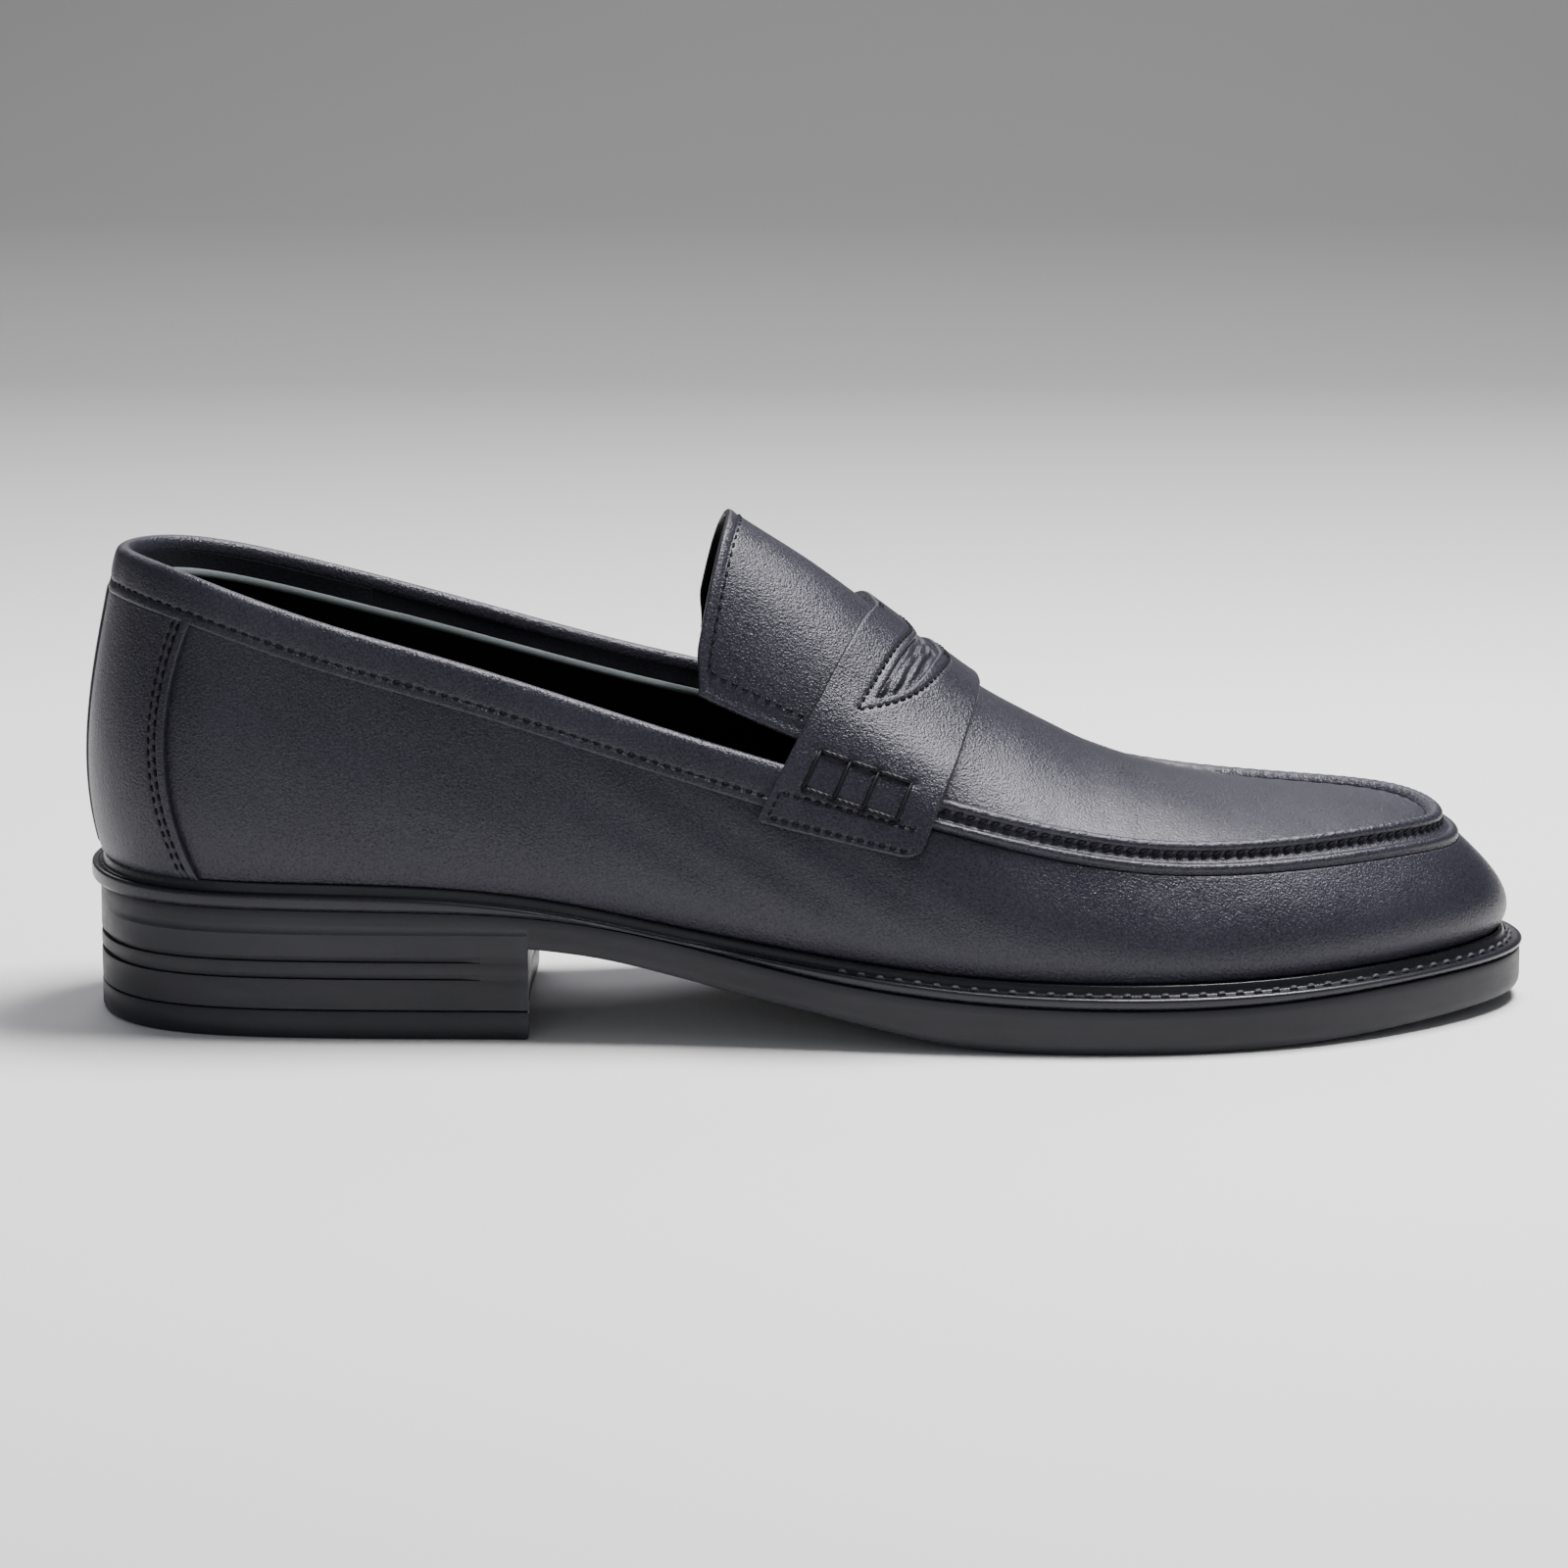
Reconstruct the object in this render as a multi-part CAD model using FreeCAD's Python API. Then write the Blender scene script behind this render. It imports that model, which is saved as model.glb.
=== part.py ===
import FreeCAD, Part
import math
import os

# Penny loafer, right shoe. Millimetres, +Z up, toe towards +X, lateral side towards -Y.
# The origin is on the ground under the middle of the shoe.
#
# Stations run round the shoe: 0 is the back of the heel, 1 to 9 the lateral side,
# 10 the tip of the toe and 11 to 19 the medial side. A place on the side wall is a
# station number and a rise, 0 at the feather line and 1 at the top of the wall.

STATIONS = 20
TOE = 10

# feather line, where the upper meets the welt, in plan
FEATHER = [
    (-146.3, -1.5), (-136, -25.5), (-108, -34), (-72, -35), (-36, -36),
    (0, -39.5), (36, -44), (70, -45), (103, -37), (131, -18.5),
    (144.5, 3.5), (134, 26.5), (107, 40), (71, 45.5), (35, 43),
    (0, 34.5), (-36, 29), (-72, 28.5), (-108, 30), (-136, 22.5),
]
# top of the wall: the topline behind, the apron seam in front
TOP = [
    (-142.3, -1.5, 97.3), (-131, -23, 96), (-103, -29.8, 86.8), (-70, -30.5, 77), (-36, -32.5, 66.3),
    (0, -36, 55.8), (36, -38.8, 46), (70, -37, 39.3), (100, -29, 38.3), (123, -14.5, 38.3),
    (133.5, 2.5, 37.6), (126, 19.5, 39.4), (102, 30.5, 40), (70, 37, 42.3), (36, 35.5, 51),
    (0, 30.5, 61.5), (-36, 27.5, 70.3), (-70, 26, 79.8), (-103, 25, 88.8), (-130, 18.5, 95.3),
]
# how far the wall swells out past the straight line from feather to top
BELLY = [4, 4, 3.2, 2.5, 2.5, 3, 3.5, 4, 4.6, 5.4, 6, 5.6, 5, 4.2, 3.6, 3, 2.5, 2.5, 3.2, 4]
BELLY_LOW = 1.0
# how far the sole edge stands out past the feather line
SOLE_EDGE = [3.8, 3.4, 3.4, 3.8, 4.4, 5.2, 6, 6.3, 6.3, 6.1, 6.2, 6, 6.2, 6, 5, 4.2, 3.6, 3.4, 3.3, 3.4]

# heights along the shoe as (x, z)
WELT_TOP = [(-150, 33.4), (-120, 32.7), (-88, 32.2), (-58, 29.8), (-30, 24.6), (0, 19.2),
            (30, 15.4), (60, 14.1), (90, 14.1), (120, 14.7), (150, 15.2)]
SOLE_TOP = [(-150, 27.5), (-118, 27.4), (-85, 27.1), (-60, 26.2), (-30, 21.9), (0, 15.2),
            (26, 11.4), (55, 9.8), (90, 9.8), (122, 11), (150, 11.2)]
SOLE_BOTTOM = [(-57, 18.9), (-44, 17.4), (-30, 14.6), (-12, 10.3), (6, 6.3), (26, 2),
               (42, 0.35), (60, 0.05), (78, 0.05), (100, 0.6), (125, 1.9), (151, 3.2)]
CROWN = [(-28, 112), (-20, 107), (-12, 101.7), (0, 93.8), (12, 84.8), (24, 75.4), (36, 66.2),
         (48, 59.1), (57, 54.3), (66, 50.8), (80, 46.9), (95, 43.8), (115, 41.5), (133.5, 38.8)]

# room round the shoe that every sole outline is cut from
X_REAR = -160.0
X_FRONT = 160.0
Y_HALF = 80.0
Z_LOW = -5.0
Z_HIGH = 55.0

# heel and outsole
HEEL_BREAST = -57.5
TOP_LIFT = 6.0
HEEL_INSET = 1.8
FOREPART_INSET = 0.4
BLEND_LENGTH = 50.0
HEEL_JOIN = 22.0
GROOVES = [(12.6, 13.8), (16.2, 17.4)]
GROOVE_DEPTH = 0.9
GROOVE_FRONT = -68.0
LAYER_GAP = 0.1
BLOCK_SETBACK = 0.05

# welt, as distances out from the feather line and down from the welt's top
WALL_FOOT = 0.9
FLANGE_REACH = (-4.0, 0.9)
FLANGE_DROP = 1.3
LIP_REACH = 2.6
LEDGE_DROP = 1.5
WELT_SEAM = 3.9
WELT_SEAM_HALF = 0.4
WELT_SEAM_LIFTS = (0.1, 0.6)
WELT_SEAM_STATIONS = (5.2, 14.8)

# layers under the foot: edge set in from the feather line, and heights
SHANK_WIDTH = 16.0
SHANK_ENDS = (-112.0, 12.0)
SHANK_LAYER = (0.2, 1.4)
FILLER_SETBACK = -6.0
FILLER_ENDS = (20.0, 136.0)
FILLER_LAYER = (0.1, -3.0)
INSOLE_SETBACK = -5.2
INSOLE_LAYER = (-2.8, -0.6)
SOCK_SETBACK = -5.6
SOCK_LAYER = (-0.5, 0.7)
PAD_SETBACK = -9.0
PAD_LAYER = (-0.5, 2.4)
HEEL_SOCK_LAYER = (2.5, 3.6)
SOCK_JOIN = -72.0
SOCK_GAP = 0.5

# thicknesses as (inner, outer) distances from the outside of the wall leather
LEATHER = (-1.7, 0.0)
STIFFENER = (-3.2, -1.9)
LINING = (-4.4, -3.4)
EDGE_TAPE = (-5.1, -4.5)
OVERLAY = (0.15, 1.35)
OVERLAY_THREAD = (1.45, 1.95)
STRAP_LAYER = (1.7, 3.3)
STRAP_THREAD = (3.4, 3.9)
STRAP_CORD = (3.4, 4.7)
UNDERLAY = (0.35, 1.4)

# side wall and what is sewn to it: ends in stations, the rest in millimetres or rise
WALL_END = 0.03
WALL_TOP_GAP = 1.3
WALL_FOOT_RISE = 0.02
BINDING_WIDTH = 9.0
BINDING_TOP_GAP = 0.2
BINDING_END = 5.15
BINDING_SEAM = 2.2
THREAD = 0.6
BACK_PIECE_END = 1.47
BACK_PIECE_WAIST = 0.95
BACK_PIECE_LEAN = 0.12
BACK_PIECE_FOOT = 0.03
BACK_PIECE_TOP_GAP = 0.6
BACK_PIECE_SEAM = 2.3
BACK_PIECE_ROWS = 1.4
STATION_LENGTH = 30.0
STRIP_HALF = 0.05
THREAD_FOOT = 0.04

# inside of the wall
LINING_DROP = 5.0
GRIP_END = 2.2
GRIP_FOOT = 0.1
QUARTER_ENDS = (2.25, 6.0)
QUARTER_FOOT = 0.12
PADDING_ENDS = (2.6, 5.9)
PADDING_FOOT = 0.62
COUNTER_END = 2.5
COUNTER_RISES = (0.08, 0.72)
VAMP_END = 6.05
VAMP_RISES = (0.14, 0.74)
PUFF_END = 8.2
PUFF_RISES = (0.1, 0.8)
TAPE_END = 5.6
TAPE_DROPS = (9.5, 7.9)

# apron, its seam and the tongue
ARCH_POWER = 2.1
CAP_STATION = 5.0
CAP_STATION_LENGTH = 36.0

APRON_GAP = 4.9
APRON_REAR = 5.45
APRON_FRONT = 9.62
APRON_LAYER = (-1.5, 0.0)
APRON_NARROWEST = 0.05
APRON_LINING_GAP = 9.0
APRON_LINING_ENDS = (5.7, 9.3)
APRON_LINING_LAYER = (-2.9, -1.9)
ROLL_RADIUS = 1.3
ROLL_INSET = 3.2
ROLL_FOOT = -0.7
SEAM_CENTRE_END = 9.1
APRON_SEAM = 1.0
APRON_SEAM_HALF = 0.35
APRON_SEAM_LIFTS = (0.2, 0.8)
TONGUE_FRONT = 5.38
TONGUE_SIDE = 0.9
TONGUE_APEX = -16.0
TONGUE_SWEEP = 8.0
TONGUE_BOW = 1.6
TONGUE_FLARE = 0.03
TONGUE_LAYER = (0.0, 1.5)
TONGUE_LINING_LAYER = (1.65, 2.6)
TONGUE_LINING_GAP = 0.5
TONGUE_LINING_INSET = 0.02
TONGUE_SEAM = 2.4
TONGUE_SEAM_INSET = 0.06
TONGUE_SEAM_LIFTS = (0.1, 0.6)
TONGUE_SEAM_HALF = 0.25

# strap: x of its rear and front edges at the crown, and how far each runs back at its ends
STRAP_REAR = (13.2, -23.8)
STRAP_FRONT = (35.0, -12.5)
STRAP_DROP = (10.2, -1.2)
STRAP_REAR_BOW = 1.25
STRAP_FRONT_BOW = 1.7
STRAP_LEAN_FADE = 0.7
CROWN_NORMAL = (0.62, 0.0, 0.785)
SECTION_ACROSS = (0, 0.25, 0.5, 0.72, 0.88)
SECTION_RISES = (0.93, 0.8, 0.62, 0.4)
SLOT_PLACE = (22.1, -1.0, 77.6)
SLOT_HALF = 27.5
SLOT_DEPTH = 7.0
SLOT_BOW = [(-1, 0), (-0.89, 0.43), (-0.76, 0.68), (-0.44, 0.91), (0, 1),
            (0.44, 0.91), (0.76, 0.68), (0.89, 0.43), (1, 0)]
SLOT_REACH = 30.0
SLOT_SEAM_HALF = 0.545
SLOT_SEAM_STOP = 0.02
SLOT_SEAM_WIDTH = 0.022
SLOT_SEAM_REAR = 0.335
SLOT_SEAM_SLANT = -0.13
SLOT_SEAM_DEPTH = 0.36
UNDERLAY_HALF = 0.52
UNDERLAY_EDGES = (0.2, 0.72)
END_SEAM_ROWS = (0.888, 0.962)
END_SEAM_WIDTH = 0.008
END_SEAM_EDGES = (0.07, 0.9)
LACE_RAILS = (0.72, 0.85)
LACE_RAIL_EDGES = (0.16, 0.79)
LACE_RUNGS = (0.17, 0.37, 0.56, 0.75)
LACE_WIDTH = 0.022
LACE_RUNG_WIDTH = 0.04
LACE_GAP = 0.01


def solve(matrix, right):
    """Gauss elimination for the spline coefficients."""
    n = len(right)
    rows = [list(matrix[i]) + [right[i]] for i in range(n)]
    for i in range(n):
        pivot = max(range(i, n), key=lambda r: abs(rows[r][i]))
        rows[i], rows[pivot] = rows[pivot], rows[i]
        for r in range(i + 1, n):
            factor = rows[r][i] / rows[i][i]
            rows[r] = [a - factor * b for a, b in zip(rows[r], rows[i])]
    out = [0.0] * n
    for i in reversed(range(n)):
        known = sum(rows[i][j] * out[j] for j in range(i + 1, n))
        out[i] = (rows[i][n] - known) / rows[i][i]
    return out


def ring_spline(values):
    """Smooth closed curve through one value per station."""
    n = len(values)
    matrix = [[0.0] * n for _ in range(n)]
    for i in range(n):
        matrix[i][i] = 4 / 6
        matrix[i][(i + 1) % n] = 1 / 6
        matrix[i][(i - 1) % n] = 1 / 6
    coefficients = solve(matrix, values)

    def value(station):
        whole = math.floor(station)
        t = station - whole
        weights = ((1 - t) ** 3 / 6, (3 * t ** 3 - 6 * t ** 2 + 4) / 6,
                   (-3 * t ** 3 + 3 * t ** 2 + 3 * t + 1) / 6, t ** 3 / 6)
        return sum(w * coefficients[(whole + k - 1) % n] for k, w in enumerate(weights))

    return value


def line_spline(points):
    """Natural cubic curve through (x, z) points, flat beyond its ends."""
    xs = [p[0] for p in points]
    zs = [p[1] for p in points]
    n = len(xs)
    matrix = [[0.0] * n for _ in range(n)]
    right = [0.0] * n
    matrix[0][0] = 1.0
    matrix[n - 1][n - 1] = 1.0
    for i in range(1, n - 1):
        before = xs[i] - xs[i - 1]
        after = xs[i + 1] - xs[i]
        matrix[i][i - 1] = before
        matrix[i][i] = 2 * (before + after)
        matrix[i][i + 1] = after
        right[i] = 6 * ((zs[i + 1] - zs[i]) / after - (zs[i] - zs[i - 1]) / before)
    bend = solve(matrix, right)

    def value(x):
        x = min(max(x, xs[0]), xs[-1])
        i = 0
        while i < n - 2 and x > xs[i + 1]:
            i += 1
        h = xs[i + 1] - xs[i]
        a = (xs[i + 1] - x) / h
        b = (x - xs[i]) / h
        curve = ((a ** 3 - a) * bend[i] + (b ** 3 - b) * bend[i + 1]) * h * h / 6
        return a * zs[i] + b * zs[i + 1] + curve

    return value


feather_x = ring_spline([p[0] for p in FEATHER])
feather_y = ring_spline([p[1] for p in FEATHER])
top_x = ring_spline([p[0] for p in TOP])
top_y = ring_spline([p[1] for p in TOP])
top_z = ring_spline([p[2] for p in TOP])
belly = ring_spline(BELLY)
sole_edge = ring_spline(SOLE_EDGE)
welt_top = line_spline(WELT_TOP)
sole_top = line_spline(SOLE_TOP)
sole_bottom = line_spline(SOLE_BOTTOM)
crown_z = line_spline(CROWN)


def vector(x, y, z):
    return FreeCAD.Vector(x, y, z)


def outward(station):
    """Level direction out of the shoe, square to the feather line."""
    step = 0.001
    dx = feather_x(station + step) - feather_x(station - step)
    dy = feather_y(station + step) - feather_y(station - step)
    length = math.hypot(dx, dy)
    return dy / length, -dx / length


def wall_point(station, rise):
    x = feather_x(station)
    low = vector(x, feather_y(station), welt_top(x) - WALL_FOOT)
    high = vector(top_x(station), top_y(station), top_z(station))
    nx, ny = outward(station)
    swell = belly(station) * 4 * rise * (1 - rise) * (1 + BELLY_LOW * (0.5 - rise))
    return low * (1 - rise) + high * rise + vector(nx, ny, 0) * swell


def wall_height(station):
    return (wall_point(station, 1) - wall_point(station, 0)).Length


def cap_point(station, across):
    """The instep and apron: an arch from the lateral wall top (-1) to the medial one (+1)."""
    lateral = vector(top_x(station), top_y(station), top_z(station))
    medial = vector(top_x(-station), top_y(-station), top_z(-station))
    side = (1 + across) / 2
    edge = lateral * (1 - side) + medial * side
    middle = (lateral + medial) * 0.5
    rise = crown_z(middle.x) - middle.z
    return edge + vector(0, 0, rise * (1 - abs(across) ** ARCH_POWER))


def off_surface(point_at, a, b, distance):
    """Point at a distance out of a surface."""
    step = 0.01
    along_a = point_at(a + step, b) - point_at(a - step, b)
    along_b = point_at(a, b + step) - point_at(a, b - step)
    normal = along_a.cross(along_b)
    normal.normalize()
    return point_at(a, b) + normal * distance


def wall_off(station, rise, distance):
    return off_surface(wall_point, station, rise, distance)


def cap_off(station, across, distance):
    return off_surface(cap_point, station, across, distance)


def surface_through(grid):
    surface = Part.BSplineSurface()
    surface.interpolate(grid)
    return surface


def solid_between(grid_a, grid_b):
    """Closed solid between two grids of points, with straight sides."""
    a = surface_through(grid_a)
    b = surface_through(grid_b)
    faces = [a.toShape(), b.toShape()]
    ua0, ua1, va0, va1 = a.bounds()
    ub0, ub1, vb0, vb1 = b.bounds()
    pairs = [(a.uIso(ua0), b.uIso(ub0)), (a.uIso(ua1), b.uIso(ub1)),
             (a.vIso(va0), b.vIso(vb0)), (a.vIso(va1), b.vIso(vb1))]
    for edge_a, edge_b in pairs:
        faces.append(Part.makeRuledSurface(edge_a.toShape(), edge_b.toShape()))
    shell = Part.makeShell(faces)
    shell.sewShape()
    solid = Part.makeSolid(shell)
    if solid.Volume < 0:
        solid.reverse()
    return solid


def steps(start, end, count):
    return [start + (end - start) * i / (count - 1) for i in range(count)]


def wall_patch(stations, low, high, layer, rows=7):
    """Layer of the wall between two rises, each a function of the station."""
    inner, outer = [[[wall_off(s, low(s) + (high(s) - low(s)) * f, d) for f in steps(0, 1, rows)]
                     for s in stations] for d in layer]
    return solid_between(inner, outer)


def constant(value):
    return lambda station: value


def below_top(distance):
    """Rise of a line that runs a fixed distance below the top of the wall."""
    return lambda station: 1 - distance / wall_height(station)


def wall_thread(stations, rise, layer, width=THREAD):
    """Thread along the wall."""
    low = lambda s: rise(s) - width / 2 / wall_height(s)
    high = lambda s: rise(s) + width / 2 / wall_height(s)
    return wall_patch(stations, low, high, layer, rows=4)


def wall_stations(start, end):
    return steps(start, end, max(5, int(abs(end - start) * 3) + 1))


# ---- sole -------------------------------------------------------------------

def plan_face(distance):
    """Level face inside a closed line at a distance out from the feather line."""
    points = []
    for s in steps(0, STATIONS, 81)[:-1]:
        nx, ny = outward(s)
        d = distance(s)
        points.append(vector(feather_x(s) + nx * d, feather_y(s) + ny * d, Z_LOW))
    curve = Part.BSplineCurve()
    curve.interpolate(Points=points, PeriodicFlag=True)
    return Part.Face(Part.Wire(curve.toShape()))


def prism(distance):
    return plan_face(distance).extrude(vector(0, 0, Z_HIGH - Z_LOW))


def side_band(low, high, x0, x1):
    """Slab between two heights along the shoe, as wide as the shoe."""
    edges = []
    for height, reverse in ((low, False), (high, True)):
        points = [vector(x, -Y_HALF, height(x)) for x in steps(x0, x1, 25)]
        if reverse:
            points.reverse()
        curve = Part.BSplineCurve()
        curve.interpolate(Points=points)
        edges.append(curve.toShape())
    first = Part.makeLine(edges[0].Vertexes[-1].Point, edges[1].Vertexes[0].Point)
    last = Part.makeLine(edges[1].Vertexes[-1].Point, edges[0].Vertexes[0].Point)
    wire = Part.Wire([edges[0], first, edges[1], last])
    return Part.Face(wire).extrude(vector(0, 2 * Y_HALF, 0))


def layer_in_sole(distance, low, high, x0=X_REAR, x1=X_FRONT):
    return prism(distance).common(side_band(low, high, x0, x1))


def outsole_edge(station):
    """The sole stands back under the welt: more at the heel than at the forepart."""
    forward = min(1, max(0, (feather_x(station) - HEEL_BREAST) / BLEND_LENGTH))
    blend = forward * forward * (3 - 2 * forward)
    return sole_edge(station) - HEEL_INSET * (1 - blend) - FOREPART_INSET * blend


def level_box(x0, x1, half_width, low, high):
    return Part.makeBox(x1 - x0, 2 * half_width, high - low, vector(x0, -half_width, low))


def heel_slab(distance, low, high):
    """Level slab of the heel between two heights, cut square at the breast."""
    return prism(distance).common(level_box(X_REAR, HEEL_BREAST, Y_HALF, low, high))


def heel_top_lift():
    return heel_slab(outsole_edge, 0, TOP_LIFT - LAYER_GAP)


def heel_block_edge(station):
    return outsole_edge(station) - BLOCK_SETBACK


def groove(low, high):
    """Level ring that bites into the heel block and stops short of the breast."""
    ring = plan_face(sole_edge).cut(plan_face(lambda s: heel_block_edge(s) - GROOVE_DEPTH))
    ring.translate(vector(0, 0, low - Z_LOW))
    reach = level_box(X_REAR, GROOVE_FRONT, Y_HALF, low, high)
    return ring.extrude(vector(0, 0, high - low)).common(reach)


def outsole():
    """One moulding: sole plate, and a heel block with two grooves round it."""
    body = heel_slab(heel_block_edge, TOP_LIFT, HEEL_JOIN)
    for low, high in GROOVES:
        body = body.cut(groove(low, high))
    return body.fuse(layer_in_sole(outsole_edge, sole_bottom, sole_top))


def ring_in_sole(outer, inner, low, high):
    """Closed ring between two lines round the shoe."""
    face = plan_face(outer).cut(plan_face(inner))
    return face.extrude(vector(0, 0, Z_HIGH - Z_LOW)).common(side_band(low, high, X_REAR, X_FRONT))


def under(height, drop):
    """Height line that runs a fixed distance below another."""
    return lambda x: height(x) - drop


def welt():
    """Flange under the upper, raised lip against it and a ledge out to the sole edge."""
    inner, outer = FLANGE_REACH
    flange = ring_in_sole(constant(outer), constant(inner), sole_top, under(welt_top, FLANGE_DROP))
    lip = ring_in_sole(constant(LIP_REACH), constant(outer), sole_top, welt_top)
    ledge = ring_in_sole(sole_edge, constant(LIP_REACH), sole_top, under(welt_top, LEDGE_DROP))
    return flange.fuse(lip).fuse(ledge)


def welt_seam_point(station, shift, lift):
    nx, ny = outward(station)
    x = feather_x(station) + nx * (WELT_SEAM + shift)
    y = feather_y(station) + ny * (WELT_SEAM + shift)
    return vector(x, y, welt_top(x) - LEDGE_DROP + lift)


def welt_stitching():
    """Seam of the welt, round the forepart only."""
    stations = steps(*WELT_SEAM_STATIONS, 49)
    shifts = (-WELT_SEAM_HALF, 0, WELT_SEAM_HALF)
    inner, outer = [[[welt_seam_point(s, w, h) for w in shifts] for s in stations]
                    for h in WELT_SEAM_LIFTS]
    return solid_between(inner, outer)


def shank():
    """Steel strip under the waist of the foot."""
    low, high = SHANK_LAYER
    blank = side_band(under(sole_top, -low), under(sole_top, -high), *SHANK_ENDS)
    return blank.common(level_box(X_REAR, X_FRONT, SHANK_WIDTH / 2, Z_LOW, Z_HIGH))


def bottom_filler():
    low, high = FILLER_LAYER
    x0, x1 = FILLER_ENDS
    return layer_in_sole(constant(FILLER_SETBACK), under(sole_top, -low), under(welt_top, -high),
                         x0=x0, x1=x1)


def insole_board():
    return under_foot(INSOLE_SETBACK, INSOLE_LAYER)


def heel_pad():
    return under_foot(PAD_SETBACK, PAD_LAYER, x1=SOCK_JOIN)


def forefoot_sock():
    return under_foot(SOCK_SETBACK, SOCK_LAYER, x0=SOCK_JOIN + SOCK_GAP)


def heel_sock():
    return under_foot(SOCK_SETBACK, HEEL_SOCK_LAYER, x1=SOCK_JOIN)


def under_foot(setback, layer, x0=X_REAR, x1=X_FRONT):
    """Layer under the foot, its two faces at fixed heights from the welt's top."""
    low, high = layer
    return layer_in_sole(constant(setback), under(welt_top, -low), under(welt_top, -high), x0=x0, x1=x1)


# ---- upper ------------------------------------------------------------------

def side_wall():
    """Wall leather all round, with its ends butted at the back of the heel."""
    stations = wall_stations(WALL_END, STATIONS - WALL_END)
    return wall_patch(stations, constant(WALL_FOOT_RISE), below_top(WALL_TOP_GAP), LEATHER)


def back_piece_edge(rise):
    """Station of the front edge of the heel back piece."""
    return BACK_PIECE_END - BACK_PIECE_WAIST * rise * (1 - rise) - BACK_PIECE_LEAN * rise


def back_piece_top():
    """Rise of the back piece's top, at the side of the heel."""
    return below_top(BINDING_WIDTH + BACK_PIECE_TOP_GAP)(1)


def heel_back_piece():
    high = back_piece_top()
    grids = []
    for d in OVERLAY:
        grid = []
        for f in steps(-1, 1, 15):
            grid.append([wall_off(f * back_piece_edge(r), r, d) for r in steps(BACK_PIECE_FOOT, high, 9)])
        grids.append(grid)
    return solid_between(grids[0], grids[1])


def back_piece_thread(side, inset):
    """One seam of the back piece, set back from its front edge."""
    grids = []
    for d in OVERLAY_THREAD:
        grid = []
        for shift in (0, THREAD):
            back = (inset + shift) / STATION_LENGTH
            grid.append([wall_off(side * (back_piece_edge(r) - back), r, d)
                         for r in steps(THREAD_FOOT, back_piece_top(), 9)])
        grids.append(grid)
    return solid_between(grids[0], grids[1])


def back_piece_stitching(side):
    return [back_piece_thread(side, BACK_PIECE_SEAM),
            back_piece_thread(side, BACK_PIECE_SEAM + BACK_PIECE_ROWS)]


def back_seam_strip():
    """Narrow strip over the seam at the back of the heel."""
    top = below_top(BINDING_WIDTH + BACK_PIECE_TOP_GAP)
    return wall_patch(steps(-STRIP_HALF, STRIP_HALF, 4), constant(THREAD_FOOT), top, OVERLAY_THREAD, rows=9)


def topline_binding():
    stations = wall_stations(-BINDING_END, BINDING_END)
    return wall_patch(stations, below_top(BINDING_WIDTH), below_top(BINDING_TOP_GAP), OVERLAY, rows=4)


def topline_stitching():
    stations = wall_stations(-BINDING_END, BINDING_END)
    return wall_thread(stations, below_top(BINDING_WIDTH - BINDING_SEAM), OVERLAY_THREAD)


def inner_patch(start, end, low, high, layer):
    """Patch on the inside of the wall between two fixed rises."""
    return wall_patch(wall_stations(start, end), constant(low), constant(high), layer)


def hung_patch(start, end, low, layer):
    """Patch on the inside of the wall that ends a fixed distance below the topline."""
    return wall_patch(wall_stations(start, end), constant(low), below_top(LINING_DROP), layer)


def collar_padding(side):
    start, end = PADDING_ENDS
    return hung_patch(side * start, side * end, PADDING_FOOT, STIFFENER)


def quarter_lining(side):
    start, end = QUARTER_ENDS
    return hung_patch(side * start, side * end, QUARTER_FOOT, LINING)


def heel_grip():
    return hung_patch(-GRIP_END, GRIP_END, GRIP_FOOT, LINING)


def heel_counter():
    return inner_patch(-COUNTER_END, COUNTER_END, *COUNTER_RISES, STIFFENER)


def vamp_lining():
    return inner_patch(VAMP_END, STATIONS - VAMP_END, *VAMP_RISES, LINING)


def toe_puff():
    return inner_patch(PUFF_END, STATIONS - PUFF_END, *PUFF_RISES, STIFFENER)


def lining_edge_tape():
    low, high = TAPE_DROPS
    stations = wall_stations(-TAPE_END, TAPE_END)
    return wall_patch(stations, below_top(low), below_top(high), EDGE_TAPE, rows=4)


def seam_point(station, inset, lift):
    """Point beside the apron seam, inset towards the middle of the apron."""
    middle = cap_point(min(station, STATIONS - station, SEAM_CENTRE_END), 0)
    edge = wall_point(station, 1)
    way = vector(middle.x - edge.x, middle.y - edge.y, 0)
    way.normalize()
    return edge + way * inset + vector(0, 0, lift)


def apron_roll():
    """Gathered roll that stands up along the apron seam."""
    stations = steps(APRON_REAR, STATIONS - APRON_REAR, 61)
    angles = steps(0, math.pi, 7)
    lower = [[seam_point(s, ROLL_INSET - ROLL_RADIUS * math.cos(a), ROLL_FOOT) for a in angles]
             for s in stations]
    upper = [[seam_point(s, ROLL_INSET - ROLL_RADIUS * math.cos(a), ROLL_RADIUS * math.sin(a))
              for a in angles] for s in stations]
    return solid_between(lower, upper)


def apron_stitching():
    stations = steps(APRON_REAR, STATIONS - APRON_REAR, 61)
    shifts = (-APRON_SEAM_HALF, 0, APRON_SEAM_HALF)
    grids = [[[seam_point(s, APRON_SEAM + w, lift) for w in shifts] for s in stations]
             for lift in APRON_SEAM_LIFTS]
    return solid_between(grids[0], grids[1])


def apron_across(station, gap):
    half = (cap_point(station, 1) - cap_point(station, -1)).Length / 2
    return max(APRON_NARROWEST, 1 - gap / half)


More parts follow.
